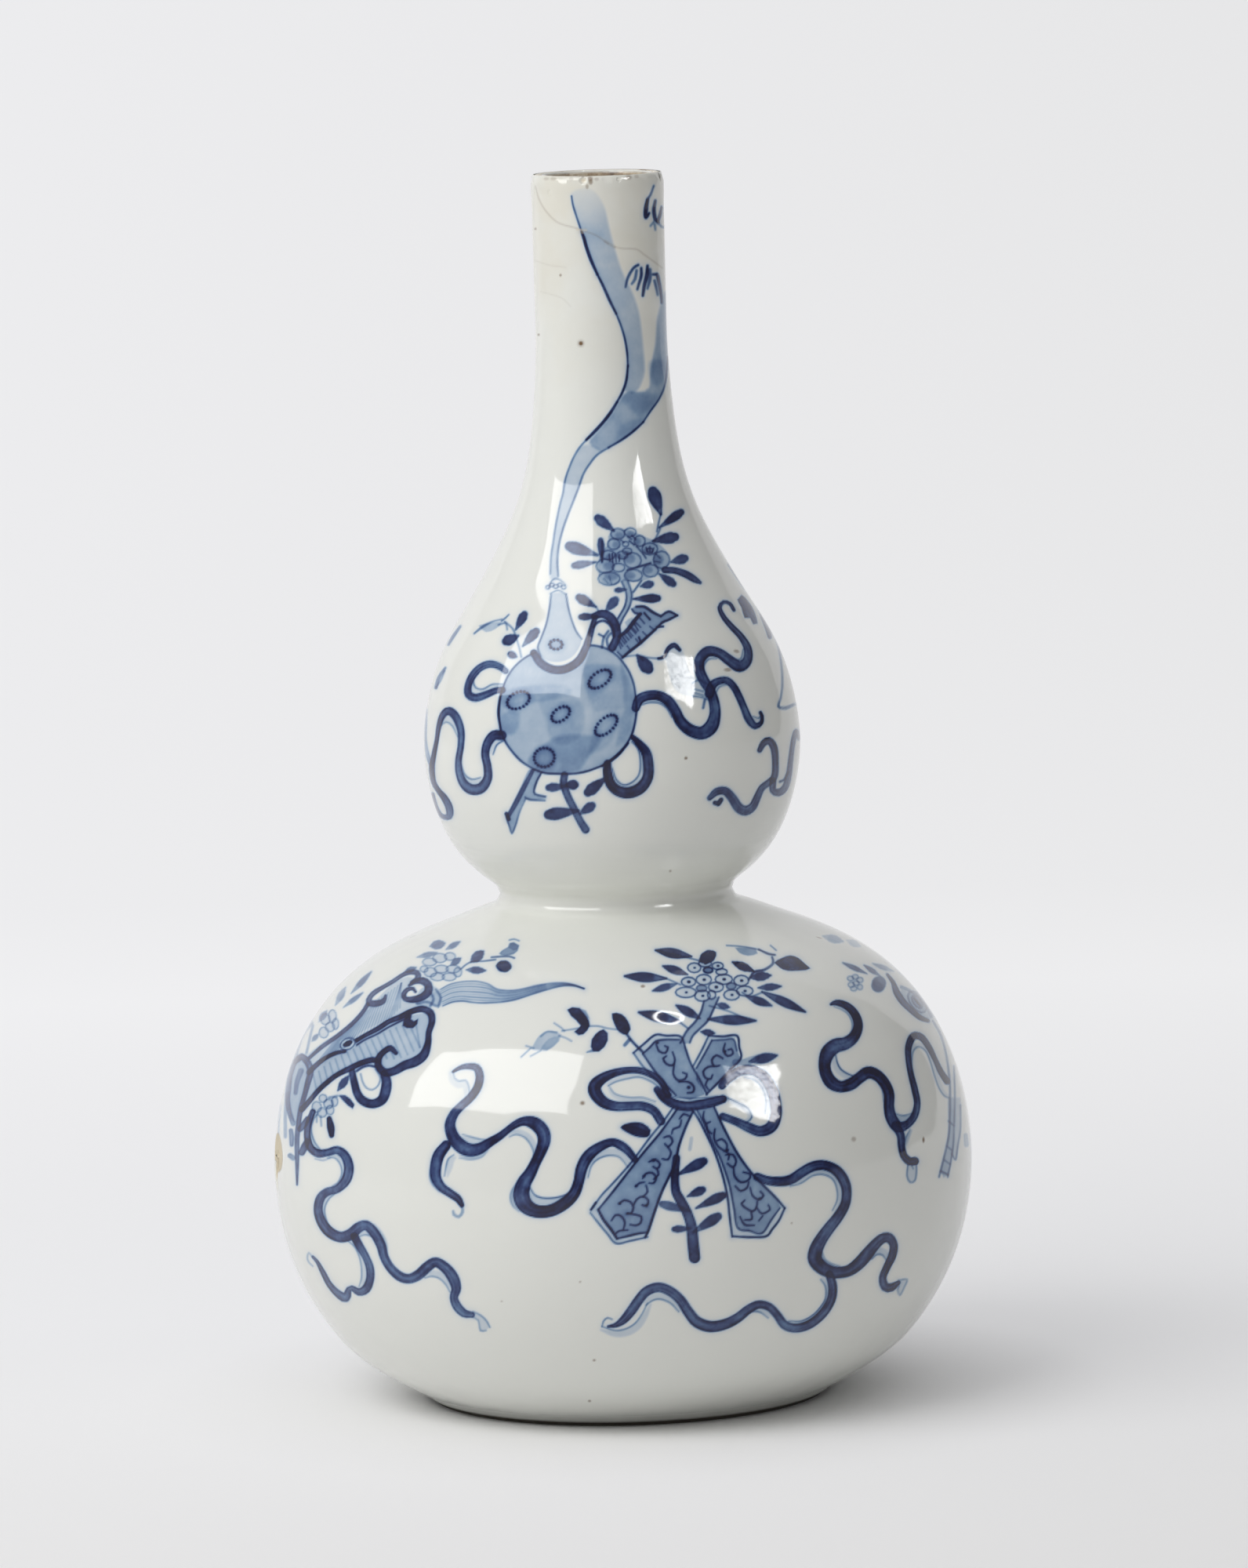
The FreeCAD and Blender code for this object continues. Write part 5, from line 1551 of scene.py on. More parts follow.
def paint_lotus(view):
    wash(view, 0.4, *lotus_heart)
    oval(view, *seed_head, tone=0.85, width=2.2, fill=0.3)
    for x, y in lotus_seeds:
        oval(view, x, y, 3, 2.2, tone=0.85, width=1.6, fill=0.5)
    for corners in lotus_petals:
        path = rounded(pairs(corners), closed=True, gap=6)
        wipe(view, *path.ravel())
        wash(view, 0.2, *path.ravel(), smooth=False)
        top, middle = path[:, 1].min(), path[:, 0].mean()
        upper_part = path[path[:, 1] < top + 0.45 * np.ptp(path[:, 1])]
        tip = upper_part * 0.88 + np.array([middle, top + 6]) * 0.12
        wash(view, 0.3, *tip.ravel(), smooth=False, soft=12.0)
        line(view, 2.2, 0.85, *path.ravel(), *path[0])
    for points in lotus_veins:
        line(view, 1.5, 0.5, *points)


front_cobalt = cobalt.copy()
cobalt[:] = 0
basket_turn, sword_turn, lotus_turn, fan_turn = 147, -133, 189, 103
fan_size, fan_drawn_at, fan_painted_at = 0.88, 1440, 1475
basket_side, sword_side = turned(basket_turn), turned(sword_turn, True)
lotus_side, fan_side = turned(lotus_turn), turned(fan_turn)
fan_side.x = fan_middle + (fan_side.x - fan_middle) / fan_size
fan_side.y = fan_drawn_at + (fan_side.y - fan_painted_at) / fan_size
for view, paint in ((basket_side, paint_basket), (sword_side, paint_sword_and_flute)):
    if view is sword_side:
        paint_twig(view)
    paint_lower_spray(view)
    paint(view)
    each(ribbon, view, lower_ribbons[:5] if view is basket_side else lower_ribbons)
    each(back_of_ribbon, view,
         lower_ribbon_backs[:11] if view is basket_side else lower_ribbon_backs)
paint_fan(fan_side)
paint_upper_spray(lotus_side)
paint_lotus(lotus_side)
paint_upper_ribbons(lotus_side, upper_ribbons[:4] + [lotus_left_ribbon, upper_ribbons[6]])
flight_turns, flights_left_of = (92, 172), 843
for degrees in flight_turns:
    left_flight = [row for row in neck_flights if max(row[2::3]) < flights_left_of]
    each(band, turned(degrees), left_flight, soft=1.7)
right_edge, left_edge = turned(90), turned(-90)
for view, fills, bands in ((right_edge, right_edge_fills, right_edge_bands),
                           (left_edge, left_edge_fills, left_edge_bands)):
    each(wash, view, fills, soft=2.6)
    each(band, view, bands, soft=2.2)
each(line, right_edge, right_edge_lines)

# the two paintings meet where the vase turns away from the camera
meeting = 0.09  # how squarely a step faces the camera where the front painting takes over
front_share = np.clip(facing_at(every["turn"]) / meeting, 0, 1)
cobalt[:] = 1 - (1 - front_cobalt * front_share) * (1 - cobalt * (1 - front_share))
print("all painted:", int((cobalt > 0.05).sum()), "steps")

# %% [markdown]
# The flake on the belly and the nibbles in the rim are in the construction. The painted coat
# has to dip where they are, so every fourth step feels for the construction below it with a
# short ray, and the places that lie deep are felt again at every step.

# %% Feel for the flake and the nibbles
from mathutils.bvhtree import BVHTree

felt_from = 1.0 * mm
felt_to = 3.0 * mm
felt_depth = 0.12 * mm  # less than this is only the flatness of the construction's faces
feel_step = 4
outward = normals_at(every["turn"])


def solid_below():
    """One search tree of the clay and the coat as they were cut."""
    corners, faces = [], []
    for name in ("outer_glaze", "lower_bulb_bowl", "lower_bulb_shoulder", "neck_tube"):
        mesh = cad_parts[name].data
        first = len(corners)
        corners += [v.co.copy() for v in mesh.vertices]
        faces += [[first + v for v in f.vertices] for f in mesh.polygons]
    return BVHTree.FromPolygons(corners, faces)


below = solid_below()
sunk = np.zeros(len(every["turn"]))


def feel(steps):
    for i in steps:
        start, way = Vector(surface[i] + outward[i] * felt_from), Vector(-outward[i])
        distance = below.ray_cast(start, way, felt_from + felt_to)[3]
        if distance is not None and distance - felt_from > felt_depth:
            sunk[i] = distance - felt_from


def in_grid(sheet, values):
    return values[sheet.first:sheet.first + sheet.count].reshape(sheet.rows, sheet.columns)


for s in sheets:
    steps = np.arange(s.first, s.first + s.count).reshape(s.rows, s.columns)
    feel(steps[::feel_step, ::feel_step].ravel())
    deep = in_grid(s, sunk) > 0
    if deep.any():
        rows, columns = np.nonzero(deep)
        around = np.zeros((s.rows, s.columns), bool)
        for r, c in zip(rows, columns):
            around[max(0, r - feel_step):r + feel_step + 1,
                   (c + np.arange(-feel_step, feel_step + 1)) % s.columns] = True
        feel(steps[around])
bare = np.maximum(flaked, np.clip((sunk - 0.5 * coat_depth) / (0.5 * coat_depth), 0, 1))
print(f"sunk steps: {int((sunk > 0).sum())}, the deepest {sunk.max() / mm:.2f} mm")

# %% [markdown]
# A grid fine enough for the thinnest line would be far too heavy where the glaze is plain.
# So a patch of 8 by 8 steps is divided only where its colour or depth changes. Every other
# patch is one face, with more corners along the sides where it meets a divided patch. Each
# piece of the coat is closed by a plain inner side and thin walls, so it is a solid shell.

# %% Choose the patches that carry detail
colour_change = 0.012


def patches_with_detail(sheet):
    found = np.zeros(((sheet.rows - 1) // patch, sheet.columns // patch), bool)
    for values, least in ((cobalt, colour_change), (stain, colour_change),
                          (bare, colour_change), (sunk, 1e-6)):
        grid = in_grid(sheet, values)
        highest, lowest = np.full(found.shape, -1.0), np.full(found.shape, 2.0)
        for down in (0, 1):
            for across in (0, 1):
                part = np.roll(grid, -across, axis=1)[down:sheet.rows - 1 + down]
                blocks = part.reshape(found.shape[0], patch, found.shape[1], patch)
                highest = np.maximum(highest, blocks.max((1, 3)))
                lowest = np.minimum(lowest, blocks.min((1, 3)))
        found |= highest - lowest > least
    return found


def divided(cells):
    """The same choice for each single step of the patches."""
    return np.repeat(np.repeat(cells, patch, axis=0), patch, axis=1)


def corners_of(cells, sheet):
    """Steps that are a corner of a chosen patch's grid, or of any patch."""
    used = np.zeros((sheet.rows, sheet.columns), bool)
    fine = divided(cells)
    for down in (0, 1):
        for across in (0, 1):
            used[down:sheet.rows - 1 + down] |= np.roll(fine, across, axis=1)
    used[::patch, ::patch] = True
    return used


# %% Make one closed piece of the coat
around_patch = ([(0, i) for i in range(patch)] + [(j, patch) for j in range(patch)]
                + [(patch, patch - i) for i in range(patch)]
                + [(patch - j, 0) for j in range(patch)])


def faces_of(sheet, cells, used, low, high, left, right):
    """Quads in the divided patches and one many-sided face in each of the others."""
    fine = divided(cells)[low:high, left:right]
    row, column = np.nonzero(fine)
    row, column = row + low, column + left

    def step_at(j, i):
        return j * sheet.columns + i % sheet.columns

    quads = np.stack([step_at(row, column), step_at(row, column + 1),
                      step_at(row + 1, column + 1), step_at(row + 1, column)], 1)
    whole = ~cells[low // patch:high // patch, left // patch:right // patch]
    row, column = np.nonzero(whole)
    down, across = np.array(around_patch).T
    ring = step_at((row * patch + low)[:, None] + down, (column * patch + left)[:, None] + across)
    flags = used.ravel()[ring]
    return quads.tolist() + [r[f].tolist() for r, f in zip(ring, flags)]


def rim_of(sheet, used, low, high, left, right):
    """The used steps along the piece's four sides, in order."""
    rows, columns = np.arange(low, high), np.arange(left, right)
    path = np.concatenate([
        np.stack([np.full(len(columns), low), columns], 1),
        np.stack([rows, np.full(len(rows), right)], 1),
        np.stack([np.full(len(columns), high), columns[::-1] + 1], 1),
        np.stack([rows[::-1] + 1, np.full(len(rows), left)], 1)])
    steps = path[:, 0] * sheet.columns + path[:, 1] % sheet.columns
    return steps[used.ravel()[steps]]


def tilted_normals(sheet):
    """The coat's normals, leaning where its depth changes."""
    normals = outward[sheet.first:sheet.first + sheet.count].copy()
    depth = in_grid(sheet, sunk)
    if depth.any():
        climb = np.gradient(depth, axis=0) / (sheet.run[1] - sheet.run[0])
        width = 2 * math.pi / sheet.columns * sheet.radius[:, None]
        drift = (np.roll(depth, -1, 1) - np.roll(depth, 1, 1)) / 2 / width
        turn, out, up = (every[name][sheet.first:sheet.first + sheet.count]
                         for name in ("turn", "out", "up"))
        along_up = np.stack([-up * np.sin(turn), up * np.cos(turn), out], 1)
        along_turn = np.stack([np.cos(turn), np.sin(turn), np.zeros_like(turn)], 1)
        normals += climb.reshape(-1, 1) * along_up + drift.reshape(-1, 1) * along_turn
        normals /= np.linalg.norm(normals, axis=1)[:, None]
    return normals


outer_share = 0.98  # of the map's height; the inner side and the walls share the rest
map_gap = 0.01
least_wall = 0.15 * mm  # what stays of the coat below a hollow


def map_corners(mesh, sheet, steps, outer_count, low, high, left, right):
    """Unrolls the piece flat on its own map, the inner side in a strip at the top."""
    vertex = np.empty(len(mesh.loops), int)
    mesh.loops.foreach_get("vertex_index", vertex)
    face_of_loop = np.repeat(np.arange(len(mesh.polygons)), [p.loop_total for p in mesh.polygons])
    inner_face = np.zeros(len(mesh.polygons), bool)
    np.logical_or.at(inner_face, face_of_loop, vertex >= outer_count)
    row, column = np.divmod(steps[vertex], sheet.columns)
    across = ((column - left) % sheet.columns) / (right - left)
    up = (row - low) / (high - low)
    hidden = inner_face[face_of_loop]
    strip = outer_share + map_gap + (1 - outer_share - map_gap) * up
    up = np.where(hidden, strip, up * outer_share)
    layer = mesh.uv_layers.new(name="OFBake")
    layer.uv.foreach_set("vector", np.stack([across, up], 1).ravel())


def make_piece(name, sheet, cells, used, normals, low, high, left, right):
    outer = faces_of(sheet, cells, used, low, high, left, right)
    rim = rim_of(sheet, used, low, high, left, right)
    sunk_cells = np.zeros_like(cells)
    by_patch = in_grid(sheet, sunk)[:-1].reshape(cells.shape[0], patch, cells.shape[1], patch)
    block = by_patch.max((1, 3)) > 0
    for down in (-1, 0, 1):
        for across in (-1, 0, 1):
            sunk_cells |= np.roll(np.roll(block, across, 1), down, 0)
    sunk_cells &= cells
    inner_used = corners_of(sunk_cells, sheet)
    inner_used.ravel()[rim] = True
    inner = faces_of(sheet, sunk_cells, inner_used, low, high, left, right)
    outer_steps = np.unique(np.concatenate([np.array(f) for f in outer if len(f) > 4]
                                           + [np.array([f for f in outer if len(f) == 4]).ravel()]))
    inner_steps = np.unique(np.concatenate([np.array(f) for f in inner]))
    place = np.full(sheet.count, -1)
    place[outer_steps] = np.arange(len(outer_steps))
    faces = [[place[v] for v in f] for f in outer]
    under = np.full(sheet.count, -1)
    under[inner_steps] = len(outer_steps) + np.arange(len(inner_steps))
    faces += [[under[v] for v in reversed(f)] for f in inner]
    for a, b in zip(rim, np.roll(rim, -1)):
        faces.append([place[b], place[a], under[a], under[b]])
    depth_outer = sunk[sheet.first + outer_steps]
    depth_inner = np.maximum(coat_depth, sunk[sheet.first + inner_steps] + least_wall)
    steps = np.concatenate([outer_steps, inner_steps])
    depth = np.concatenate([depth_outer, depth_inner])
    vertices = surface[sheet.first + steps] - outward[sheet.first + steps] * depth[:, None]
    mesh = bpy.data.meshes.new(name)
    mesh.from_pydata(vertices.tolist(), [], faces)
    mesh.polygons.foreach_set("use_smooth", np.ones(len(mesh.polygons), bool))
    side = np.where(np.arange(len(steps)) < len(outer_steps), 1.0, -1.0)[:, None]
    mesh.normals_split_custom_set_from_vertices((normals[steps] * side).tolist())
    for channel, values in (("cobalt", cobalt), ("stain", stain), ("bare", bare)):
        shown = np.where(side[:, 0] > 0, values[sheet.first + steps], 0)
        layer = mesh.attributes.new(channel, "FLOAT", "POINT")
        layer.data.foreach_set("value", shown.astype(np.float32))
    map_corners(mesh, sheet, steps, len(outer_steps), low, high, left, right)
    piece = bpy.data.objects.new(name, mesh)
    bpy.context.scene.collection.objects.link(piece)
    return piece


# %% Lay the coat on the vase in pieces
cuts = {"lower_bulb": (8, 2), "upper_bulb": (4, 1), "neck": (2, 1)}
coat = []
for s in sheets:
    cells = patches_with_detail(s)
    used = corners_of(cells, s)
    normals = tilted_normals(s)
    around, bands = cuts[s.name]
    edges = np.round(np.linspace(0, (s.rows - 1) // patch, bands + 1)).astype(int) * patch
    for b, (low, high) in enumerate(zip(edges, edges[1:])):
        for k in range(around):
            left, right = k * s.columns // around, (k + 1) * s.columns // around
            coat.append(make_piece(f"painted_glaze_{s.name}_{b + 1}_{k + 1}", s, cells, used,
                                   normals, low, high, left, right))
    print(f"{s.name}: {cells.mean():.0%} of the patches are divided")
triangles = [sum(p.loop_total - 2 for p in piece.data.polygons) for piece in coat]
print(f"{len(coat)} pieces, {sum(triangles)} triangles, the heaviest {max(triangles)}")

# %% [markdown]
# Glazed porcelain is glass over white clay. The clear coat gives sharp reflections, and the
# colour comes from below it: a cool greenish white, and cobalt that turns from pale sky blue
# where it is thin to a violet black where the brush was full. Age adds its own colours: old
# varnish and dirt on the neck, rust spots where iron was in the clay, and bare clay in chips.

# %% Start a material
def new_material(name):
    material = bpy.data.materials.new(name)
    material.use_nodes = True
    return material, material.node_tree, material.node_tree.nodes["Principled BSDF"]


# %% Painted glaze
glaze_white = "e6e7e1"
cobalt_stops = ((0.0, glaze_white), (0.10, "ccd4da"), (0.25, "aabbcc"), (0.42, "809ab7"),
                (0.6, "546f97"), (0.78, "31416f"), (0.9, "1c2550"), (1.0, "161433"))
stain_colour = "6e5233"
cloud_colour = "dcd6c4"
biscuit_colour = "cfc2a6"
# the dark of the painted shade at the foot, where the vase meets the floor
foot_shade_colour = "3a362f"
glaze_ior = 1.5
varnish_patch, wave, dimple = 15.385 * mm, 12.5 * mm, 1.111 * mm
wiping_length, wiping_gap = 22.22 * mm, 3.03 * mm
dirt_spot, clay_blot, sand_grain = 3.846 * mm, 5.882 * mm, 1.111 * mm


def painted_glaze():
    material, tree, shader = new_material("cobalt_under_clear_glaze")
    load, dirt, chip = (add(tree, "Attribute", attribute_name=name).outputs["Fac"]
                        for name in ("cobalt", "stain", "bare"))
    place = add(tree, "TexCoord").outputs["Object"]
    height = add(tree, "SeparateXYZ", {"Vector": place}).outputs["Z"]

    # old varnish in cloudy patches on the neck, some 15 mm wide
    patches = add(tree, "TexNoise", {"Vector": place, "Scale": 1 / varnish_patch, "Detail": 3.0,
                                     "Roughness": 0.6})
    clouds = add(tree, "MapRange", (patches, 0.40, 0.68, 0.08, 0.5))
    on_neck = add(tree, "MapRange", (height, 0.196, 0.236))
    cloudy = add(tree, "Math", (clouds, on_neck), operation="MULTIPLY")

    blue = add(tree, "ValToRGB", (load,), cobalt_stops)
    colours = add(tree, "Mix", (cloudy, blue, colour(cloud_colour)), data_type="RGBA")
    # the cloud lies on the white and hardly shows on the blue
    on_blue = add(tree, "MapRange", (load, 0.0, 0.3))
    colours = add(tree, "Mix", (on_blue, colours, blue), data_type="RGBA")
    colours = add(tree, "Mix", (dirt, colours, colour(stain_colour)), data_type="RGBA")
    colours = add(tree, "Mix", (chip, colours, colour(biscuit_colour)), data_type="RGBA")
    # where the glaze stops at the foot it is dull, and its lowest edge is painted dark: painted
    # shade where the vase meets the floor
    lowest = add(tree, "MapRange", (height, 0.7 * mm, 1.3 * mm, 0.9, 0.0))
    colours = add(tree, "Mix", (lowest, colours, colour(foot_shade_colour)), data_type="RGBA")
    low = add(tree, "MapRange", (height, 1.4 * mm, 3.4 * mm, 0.8, 0.0))
    dull = add(tree, "Math", (chip, low), operation="MAXIMUM")
    feed(tree, shader.inputs["Base Color"], colours)
    feed(tree, shader.inputs["Roughness"], add(tree, "MapRange", (dull, 0.0, 1.0, 0.055, 0.75)))

    # the glaze lies in gentle waves, 12 mm apart, and in dimples of about a millimetre
    waves = add(tree, "TexNoise", {"Vector": place, "Scale": 1 / wave, "Detail": 1.0})
    dimples = add(tree, "TexNoise", {"Vector": place, "Scale": 1 / dimple, "Detail": 1.0})
    bump = add(tree, "Bump", {"Height": waves, "Strength": 0.1, "Distance": 2.2 * mm})
    bump = add(tree, "Bump", {"Height": dimples, "Strength": 0.1, "Distance": 0.02 * mm,
                              "Normal": bump})
    # wiping marks where the upper bulb was joined, level rows some 3 mm apart
    level = add(tree, "Mapping", {"Vector": place, "Scale": (1 / wiping_length, 1 / wiping_length,
                                                             1 / wiping_gap)})
    rows = add(tree, "TexNoise", {"Vector": level, "Scale": 1.0, "Detail": 2.0})
    above = add(tree, "MapRange", (height, 0.105, 0.111))
    below = add(tree, "MapRange", (height, 0.121, 0.115))
    there = add(tree, "Math", (above, below), operation="MULTIPLY")
    depth = add(tree, "Math", (rows, there), operation="MULTIPLY")
    bump = add(tree, "Bump", {"Height": depth, "Strength": 0.5, "Distance": 0.5 * mm,
                              "Normal": bump})
    feed(tree, shader.inputs["Normal"], bump)
    shader.inputs["IOR"].default_value = glaze_ior
    return material


# %% [markdown]
# The glaze inside the neck and under the base has no painting. Inside the mouth it is brown
# with old dirt, which fades out as it goes down. The clay shows only where no glaze holds:
# on the foot, which stood on the kiln's sand, and on the worn edge of the mouth.

# %% Plain glaze and bare clay
def plain_glaze():
    material, tree, shader = new_material("clear_glaze_on_white_clay")
    place = add(tree, "TexCoord").outputs["Object"]
    height = add(tree, "SeparateXYZ", {"Vector": place}).outputs["Z"]
    spots = add(tree, "TexNoise", {"Vector": place, "Scale": 1 / dirt_spot, "Detail": 5.0,
                                   "Roughness": 0.65})
    brown = add(tree, "ValToRGB", (spots,), ((0.36, "5b4733"), (0.47, "9c876b"), (0.62, "c9bca3")))
    from_below = add(tree, "MapRange", (height, 0.222, 0.244))
    to_the_rim = add(tree, "MapRange", (height, 0.2498, 0.2493))
    share = add(tree, "Math", (from_below, to_the_rim), operation="MULTIPLY")
    colours = add(tree, "Mix", (share, colour(glaze_white), brown), data_type="RGBA")
    feed(tree, shader.inputs["Base Color"], colours)
    feed(tree, shader.inputs["Roughness"], add(tree, "MapRange", (share, 0.0, 1.0, 0.08, 0.5)))
    shader.inputs["IOR"].default_value = glaze_ior
    return material


def bare_clay():
    material, tree, shader = new_material("bare_fired_clay")
    place = add(tree, "TexCoord").outputs["Object"]
    height = add(tree, "SeparateXYZ", {"Vector": place}).outputs["Z"]
    sand = add(tree, "TexNoise", {"Vector": place, "Scale": 1 / sand_grain, "Detail": 4.0})
    blots = add(tree, "TexNoise", {"Vector": place, "Scale": 1 / clay_blot, "Detail": 3.0,
                                   "Roughness": 0.6})
    clean = add(tree, "ValToRGB", (blots,), ((0.3, "b9a482"), (0.5, "d8ccb4"), (0.7, "e4dccb")))
    worn = add(tree, "ValToRGB", (blots,), ((0.33, "8f7d66"), (0.40, "cdc1ae"), (0.52, "e6e1d5")))
    at_mouth = add(tree, "MapRange", (height, 0.20, 0.24))
    colours = add(tree, "Mix", (at_mouth, clean, worn), data_type="RGBA")
    # painted shade: the clay at the foot is darkened towards the floor, where the vase stands
    clay_foot_shade = add(tree, "MapRange", (height, 0.8 * mm, 1.6 * mm, 0.95, 0.0))
    colours = add(tree, "Mix", (clay_foot_shade, colours, colour(foot_shade_colour)), data_type="RGBA")
    feed(tree, shader.inputs["Base Color"], colours)
    bump = add(tree, "Bump", {"Height": sand, "Strength": 0.35, "Distance": 0.15 * mm})
    feed(tree, shader.inputs["Normal"], bump)
    shader.inputs["Roughness"].default_value = 0.8
    return material


painted, plain, clay = painted_glaze(), plain_glaze(), bare_clay()
for name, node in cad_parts.items():
    node.data.materials.clear()
    node.data.materials.append(plain if name.endswith("glaze") else clay)
for piece in coat:
    piece.data.materials.append(painted)
    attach(piece, "root")
    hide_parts("outer_glaze")

# %% [markdown]
# The vase stands on white paper that curves up behind it, so no edge shows. The camera sees
# the paper a little lighter than the lamps make it, and more so far back, as in a studio
# where the backdrop has lamps of its own. The paper near the vase keeps its shadow.

# %% White paper
paper_colour = "fafafb"
# painted light on the paper: darker in front, and the glow lighter at the left than at the right
front_paper_shaded, left_paper_lit, right_paper_shaded = "ecebe9", "f2f2f4", "ebebec"
paper_size, paper_height, bend_radius = 6.0, 4.0, 1.2


def paper():
    """A sheet of paper that lies under the vase and curves up behind it."""
    bpy.ops.mesh.primitive_plane_add(size=paper_size, location=(0, 0, 0))
    sheet = bpy.context.object
    sheet.name = "paper"
    for item in (*sheet.data.vertices, *sheet.data.edges, *sheet.data.polygons):
        item.select = False
    for edge in sheet.data.edges:
        ends = [sheet.data.vertices[v] for v in edge.vertices]
        if all(end.co.y > 1 for end in ends):
            edge.select = ends[0].select = ends[1].select = True
    bpy.ops.object.mode_set(mode="EDIT")
    bpy.ops.mesh.select_mode(type="EDGE")
    bpy.ops.mesh.extrude_region_move(TRANSFORM_OT_translate={"value": (0, 0, paper_height)})
    bpy.ops.object.mode_set(mode="OBJECT")
    bend = sheet.modifiers.new("bend", "BEVEL")
    bend.width, bend.segments = bend_radius, 24
    bpy.ops.object.modifier_apply(modifier="bend")
    sheet.data.polygons.foreach_set("use_smooth", [True] * len(sheet.data.polygons))
    material, tree, shader = new_material("paper")
    shader.inputs["Roughness"].default_value = 0.9
    shader.inputs["Specular IOR Level"].default_value = 0.2
    place = add(tree, "SeparateXYZ", {"Vector": add(tree, "TexCoord").outputs["Object"]})
    # painted light: the glow is lighter at the left, nearer the window, and darker at the right
    to_right = add(tree, "MapRange", (place.outputs["X"], -0.35, 0.35))
    tint = add(tree, "Mix", (to_right, colour(left_paper_lit), colour(right_paper_shaded)), data_type="RGBA")
    # painted shade: the front of the paper is coloured darker, as the lamps reach it less
    in_front = add(tree, "MapRange", (place.outputs["Y"], -0.25, 0.1))
    near_colour = add(tree, "Mix", (in_front, colour(front_paper_shaded), colour(paper_colour)),
                      data_type="RGBA")
    feed(tree, shader.inputs["Base Color"], near_colour)
    # painted light: the glow is a little stronger near the vase than far back, and weaker in front
    behind = add(tree, "MapRange", (place.outputs["Y"], 0.0, 0.8, 1.12, 1.0))
    dimmed = add(tree, "MapRange", (in_front, 0.0, 1.0, 0.88, 1.0))
    strength = add(tree, "Math", (behind, dimmed), operation="MULTIPLY")
    glow = add(tree, "Emission", {"Color": tint, "Strength": strength})
    object_place = add(tree, "TexCoord").outputs["Object"]
    flat = add(tree, "VectorMath", (object_place, (1, 1, 0)), operation="MULTIPLY")
    away = add(tree, "VectorMath", (flat,), operation="LENGTH")
    further = add(tree, "MapRange", (place.outputs["Y"], 0.05, 0.6, 0.32, 0.9))
    beyond_foot = add(tree, "MapRange", (away, 0.05, 0.10))
    far = add(tree, "Math", (further, beyond_foot), operation="MULTIPLY")
    path = add(tree, "LightPath").outputs
    seen = add(tree, "Math", (path["Is Camera Ray"], path["Is Glossy Ray"]), operation="MAXIMUM")
    seen = add(tree, "Math", (seen, path["Is Transmission Ray"]), operation="MAXIMUM")
    share = add(tree, "Math", (seen, far), operation="MULTIPLY")
    both = add(tree, "MixShader", (share, shader.outputs[0], glow))
    feed(tree, tree.nodes["Material Output"].inputs["Surface"], both)
    sheet.data.materials.append(material)
    return sheet


# %% [markdown]
# The highlights on the glaze show where the lights stood. Each one was followed back from
# the picture: a large window to the left, a crumpled reflector to the right, and a small
# ring lamp overhead. They are built as bright cloths at those places.

# %% Lights
def towards(azimuth, elevation, distance):
    """A place seen from the vase: azimuth to the right of the camera's side."""
    a, e = math.radians(azimuth), math.radians(elevation)
    return Vector((math.sin(a) * math.cos(e), -math.cos(a) * math.cos(e), math.sin(e))) * distance


def bright_cloth(name, corners, faces, strength, texture=None, lights="both"):
    """A glowing sheet. It may light only what is matt, or be seen only in what is glossy."""
    mesh = bpy.data.meshes.new(name)
    mesh.from_pydata([tuple(c) for c in corners], [], faces)
    cloth = bpy.data.objects.new(name, mesh)
    bpy.context.scene.collection.objects.link(cloth)
    material, tree, shader = new_material(name)
    tree.nodes.remove(shader)
    power = texture(tree) if texture else strength
    light = add(tree, "Emission", {"Color": colour("ffffff"), "Strength": power})
    feed(tree, tree.nodes["Material Output"].inputs["Surface"], light)
    cloth.data.materials.append(material)
    cloth.visible_camera = False
    cloth.visible_diffuse = lights != "glossy"
    cloth.visible_glossy = lights != "matt"
    cloth.visible_shadow = False
    return cloth


crease_width = 38.46 * mm


def crumpled(tree):
    """Bright and dark creases, four centimetres wide, and smoother towards the right."""
    place = add(tree, "TexCoord").outputs["Object"]
    creases = add(tree, "TexNoise", {"Vector": place, "Scale": 1 / crease_width, "Detail": 6.0,
                                     "Roughness": 0.75, "Distortion": 2.5})
    across = add(tree, "SeparateXYZ", {"Vector": place}).outputs["X"]
    to_right = add(tree, "MapRange", (across, 0.80, 1.08, -0.02, 0.08))
    smoother = add(tree, "Math", (creases, to_right), operation="ADD")
    return add(tree, "MapRange", (smoother, 0.47, 0.55, 1.0, 17.0))


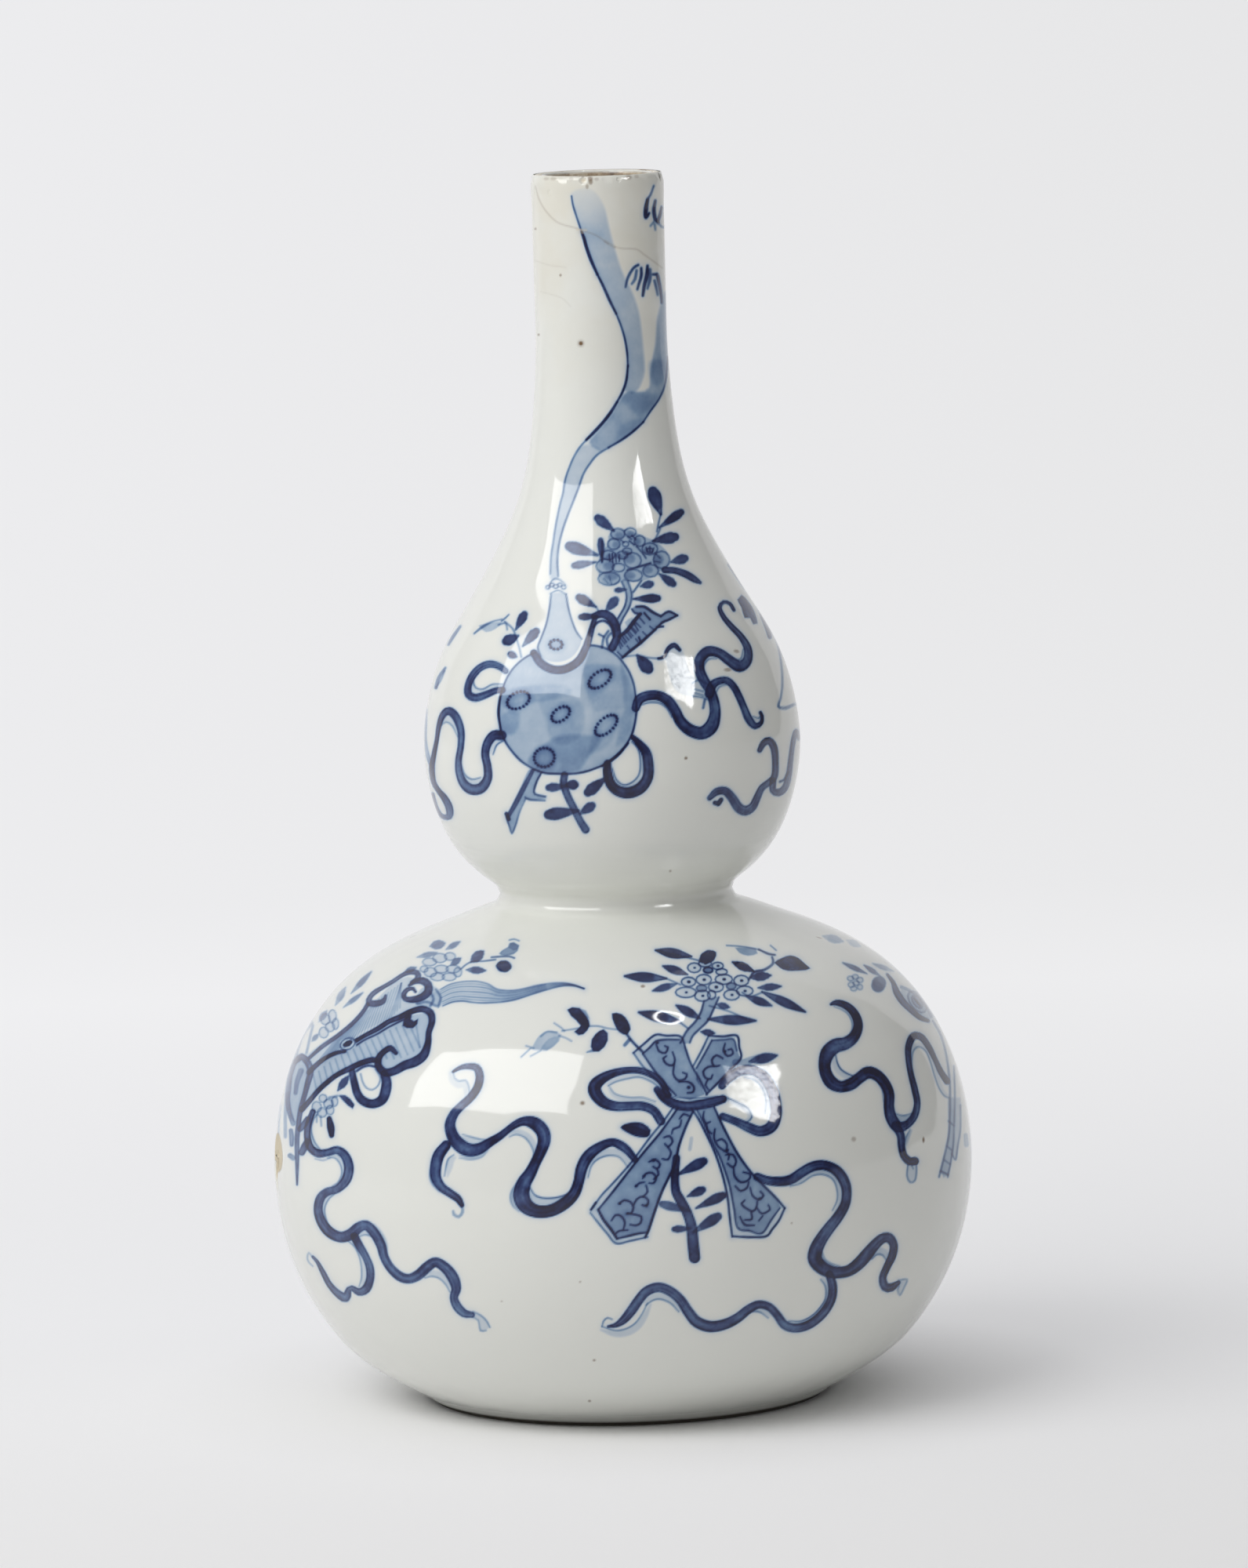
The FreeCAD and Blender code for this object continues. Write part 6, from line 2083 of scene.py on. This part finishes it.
def ragged(corners, seed, parts=14, reach=0.02):
    """The outline between these corners with torn edges."""
    chance = np.random.default_rng(seed)
    points = []
    for a, b in zip(corners, corners[1:] + corners[:1]):
        for i in range(parts):
            shift = Vector(chance.uniform(-reach, reach, 3)) if i else Vector()
            points.append(a.lerp(b, i / parts) + shift)
    return points


window_at, reflector_at, ring_at = 1.3, 1.5, 1.6
matt_strength, glass_strength, ring_strength = 4.05, 5.3, 30.0
window_corners = [towards(a, e, window_at) for a, e in
                  ((-83, 45), (-18, 58.5), (-18.8, 30.2), (-79, 23.2))]
# matt surfaces get the light that came through the window, glossy ones show its bright glass
window = bright_cloth("window_light", window_corners, [(0, 1, 2, 3)], matt_strength,
                      lights="matt")
glass = bright_cloth("window_glass", window_corners, [(0, 1, 2, 3)], glass_strength,
                     lights="glossy")
reflector_corners = ragged([towards(a, e, reflector_at) for a, e in
                            ((44.5, 46.9), (65.8, 41.0), (53.2, 20.0), (37.5, 30.6))], 3)
reflector = bright_cloth("reflector", reflector_corners, [tuple(range(len(reflector_corners)))], 0,
                         crumpled, "glossy")
ring_middle = Vector((0.186, -0.13, 0.97)) * ring_at
ring_corners = 32
ring_points = []
for size in (0.06, 0.074):
    for i in range(ring_corners):
        angle = 2 * math.pi * i / ring_corners
        way = Vector((math.cos(angle), math.sin(angle), 0))
        ring_points.append(ring_middle + way * size * ring_at)
ring_faces = [(i, (i + 1) % ring_corners, ring_corners + (i + 1) % ring_corners, ring_corners + i)
              for i in range(ring_corners)]
ring = bright_cloth("ring_lamp", ring_points, ring_faces, ring_strength, lights="glossy")

world = bpy.data.worlds.new("studio")
bpy.context.scene.world = world
world.use_nodes = True
background = world.node_tree.nodes["Background"]
background.inputs["Color"].default_value = colour("f4f4f6")
sky = world.node_tree
way = add(sky, "SeparateXYZ", {"Vector": add(sky, "TexCoord").outputs["Generated"]}).outputs
sideways = add(sky, "MapRange", (way["X"], -1.0, 1.0, 0.48, 0.22))
overhead = add(sky, "MapRange", (way["Z"], 0.3, 1.0, 0.0, 0.35))
feed(sky, background.inputs["Strength"], add(sky, "Math", (sideways, overhead), operation="ADD"))
bpy.context.scene.view_settings.view_transform = "Standard"

paper()
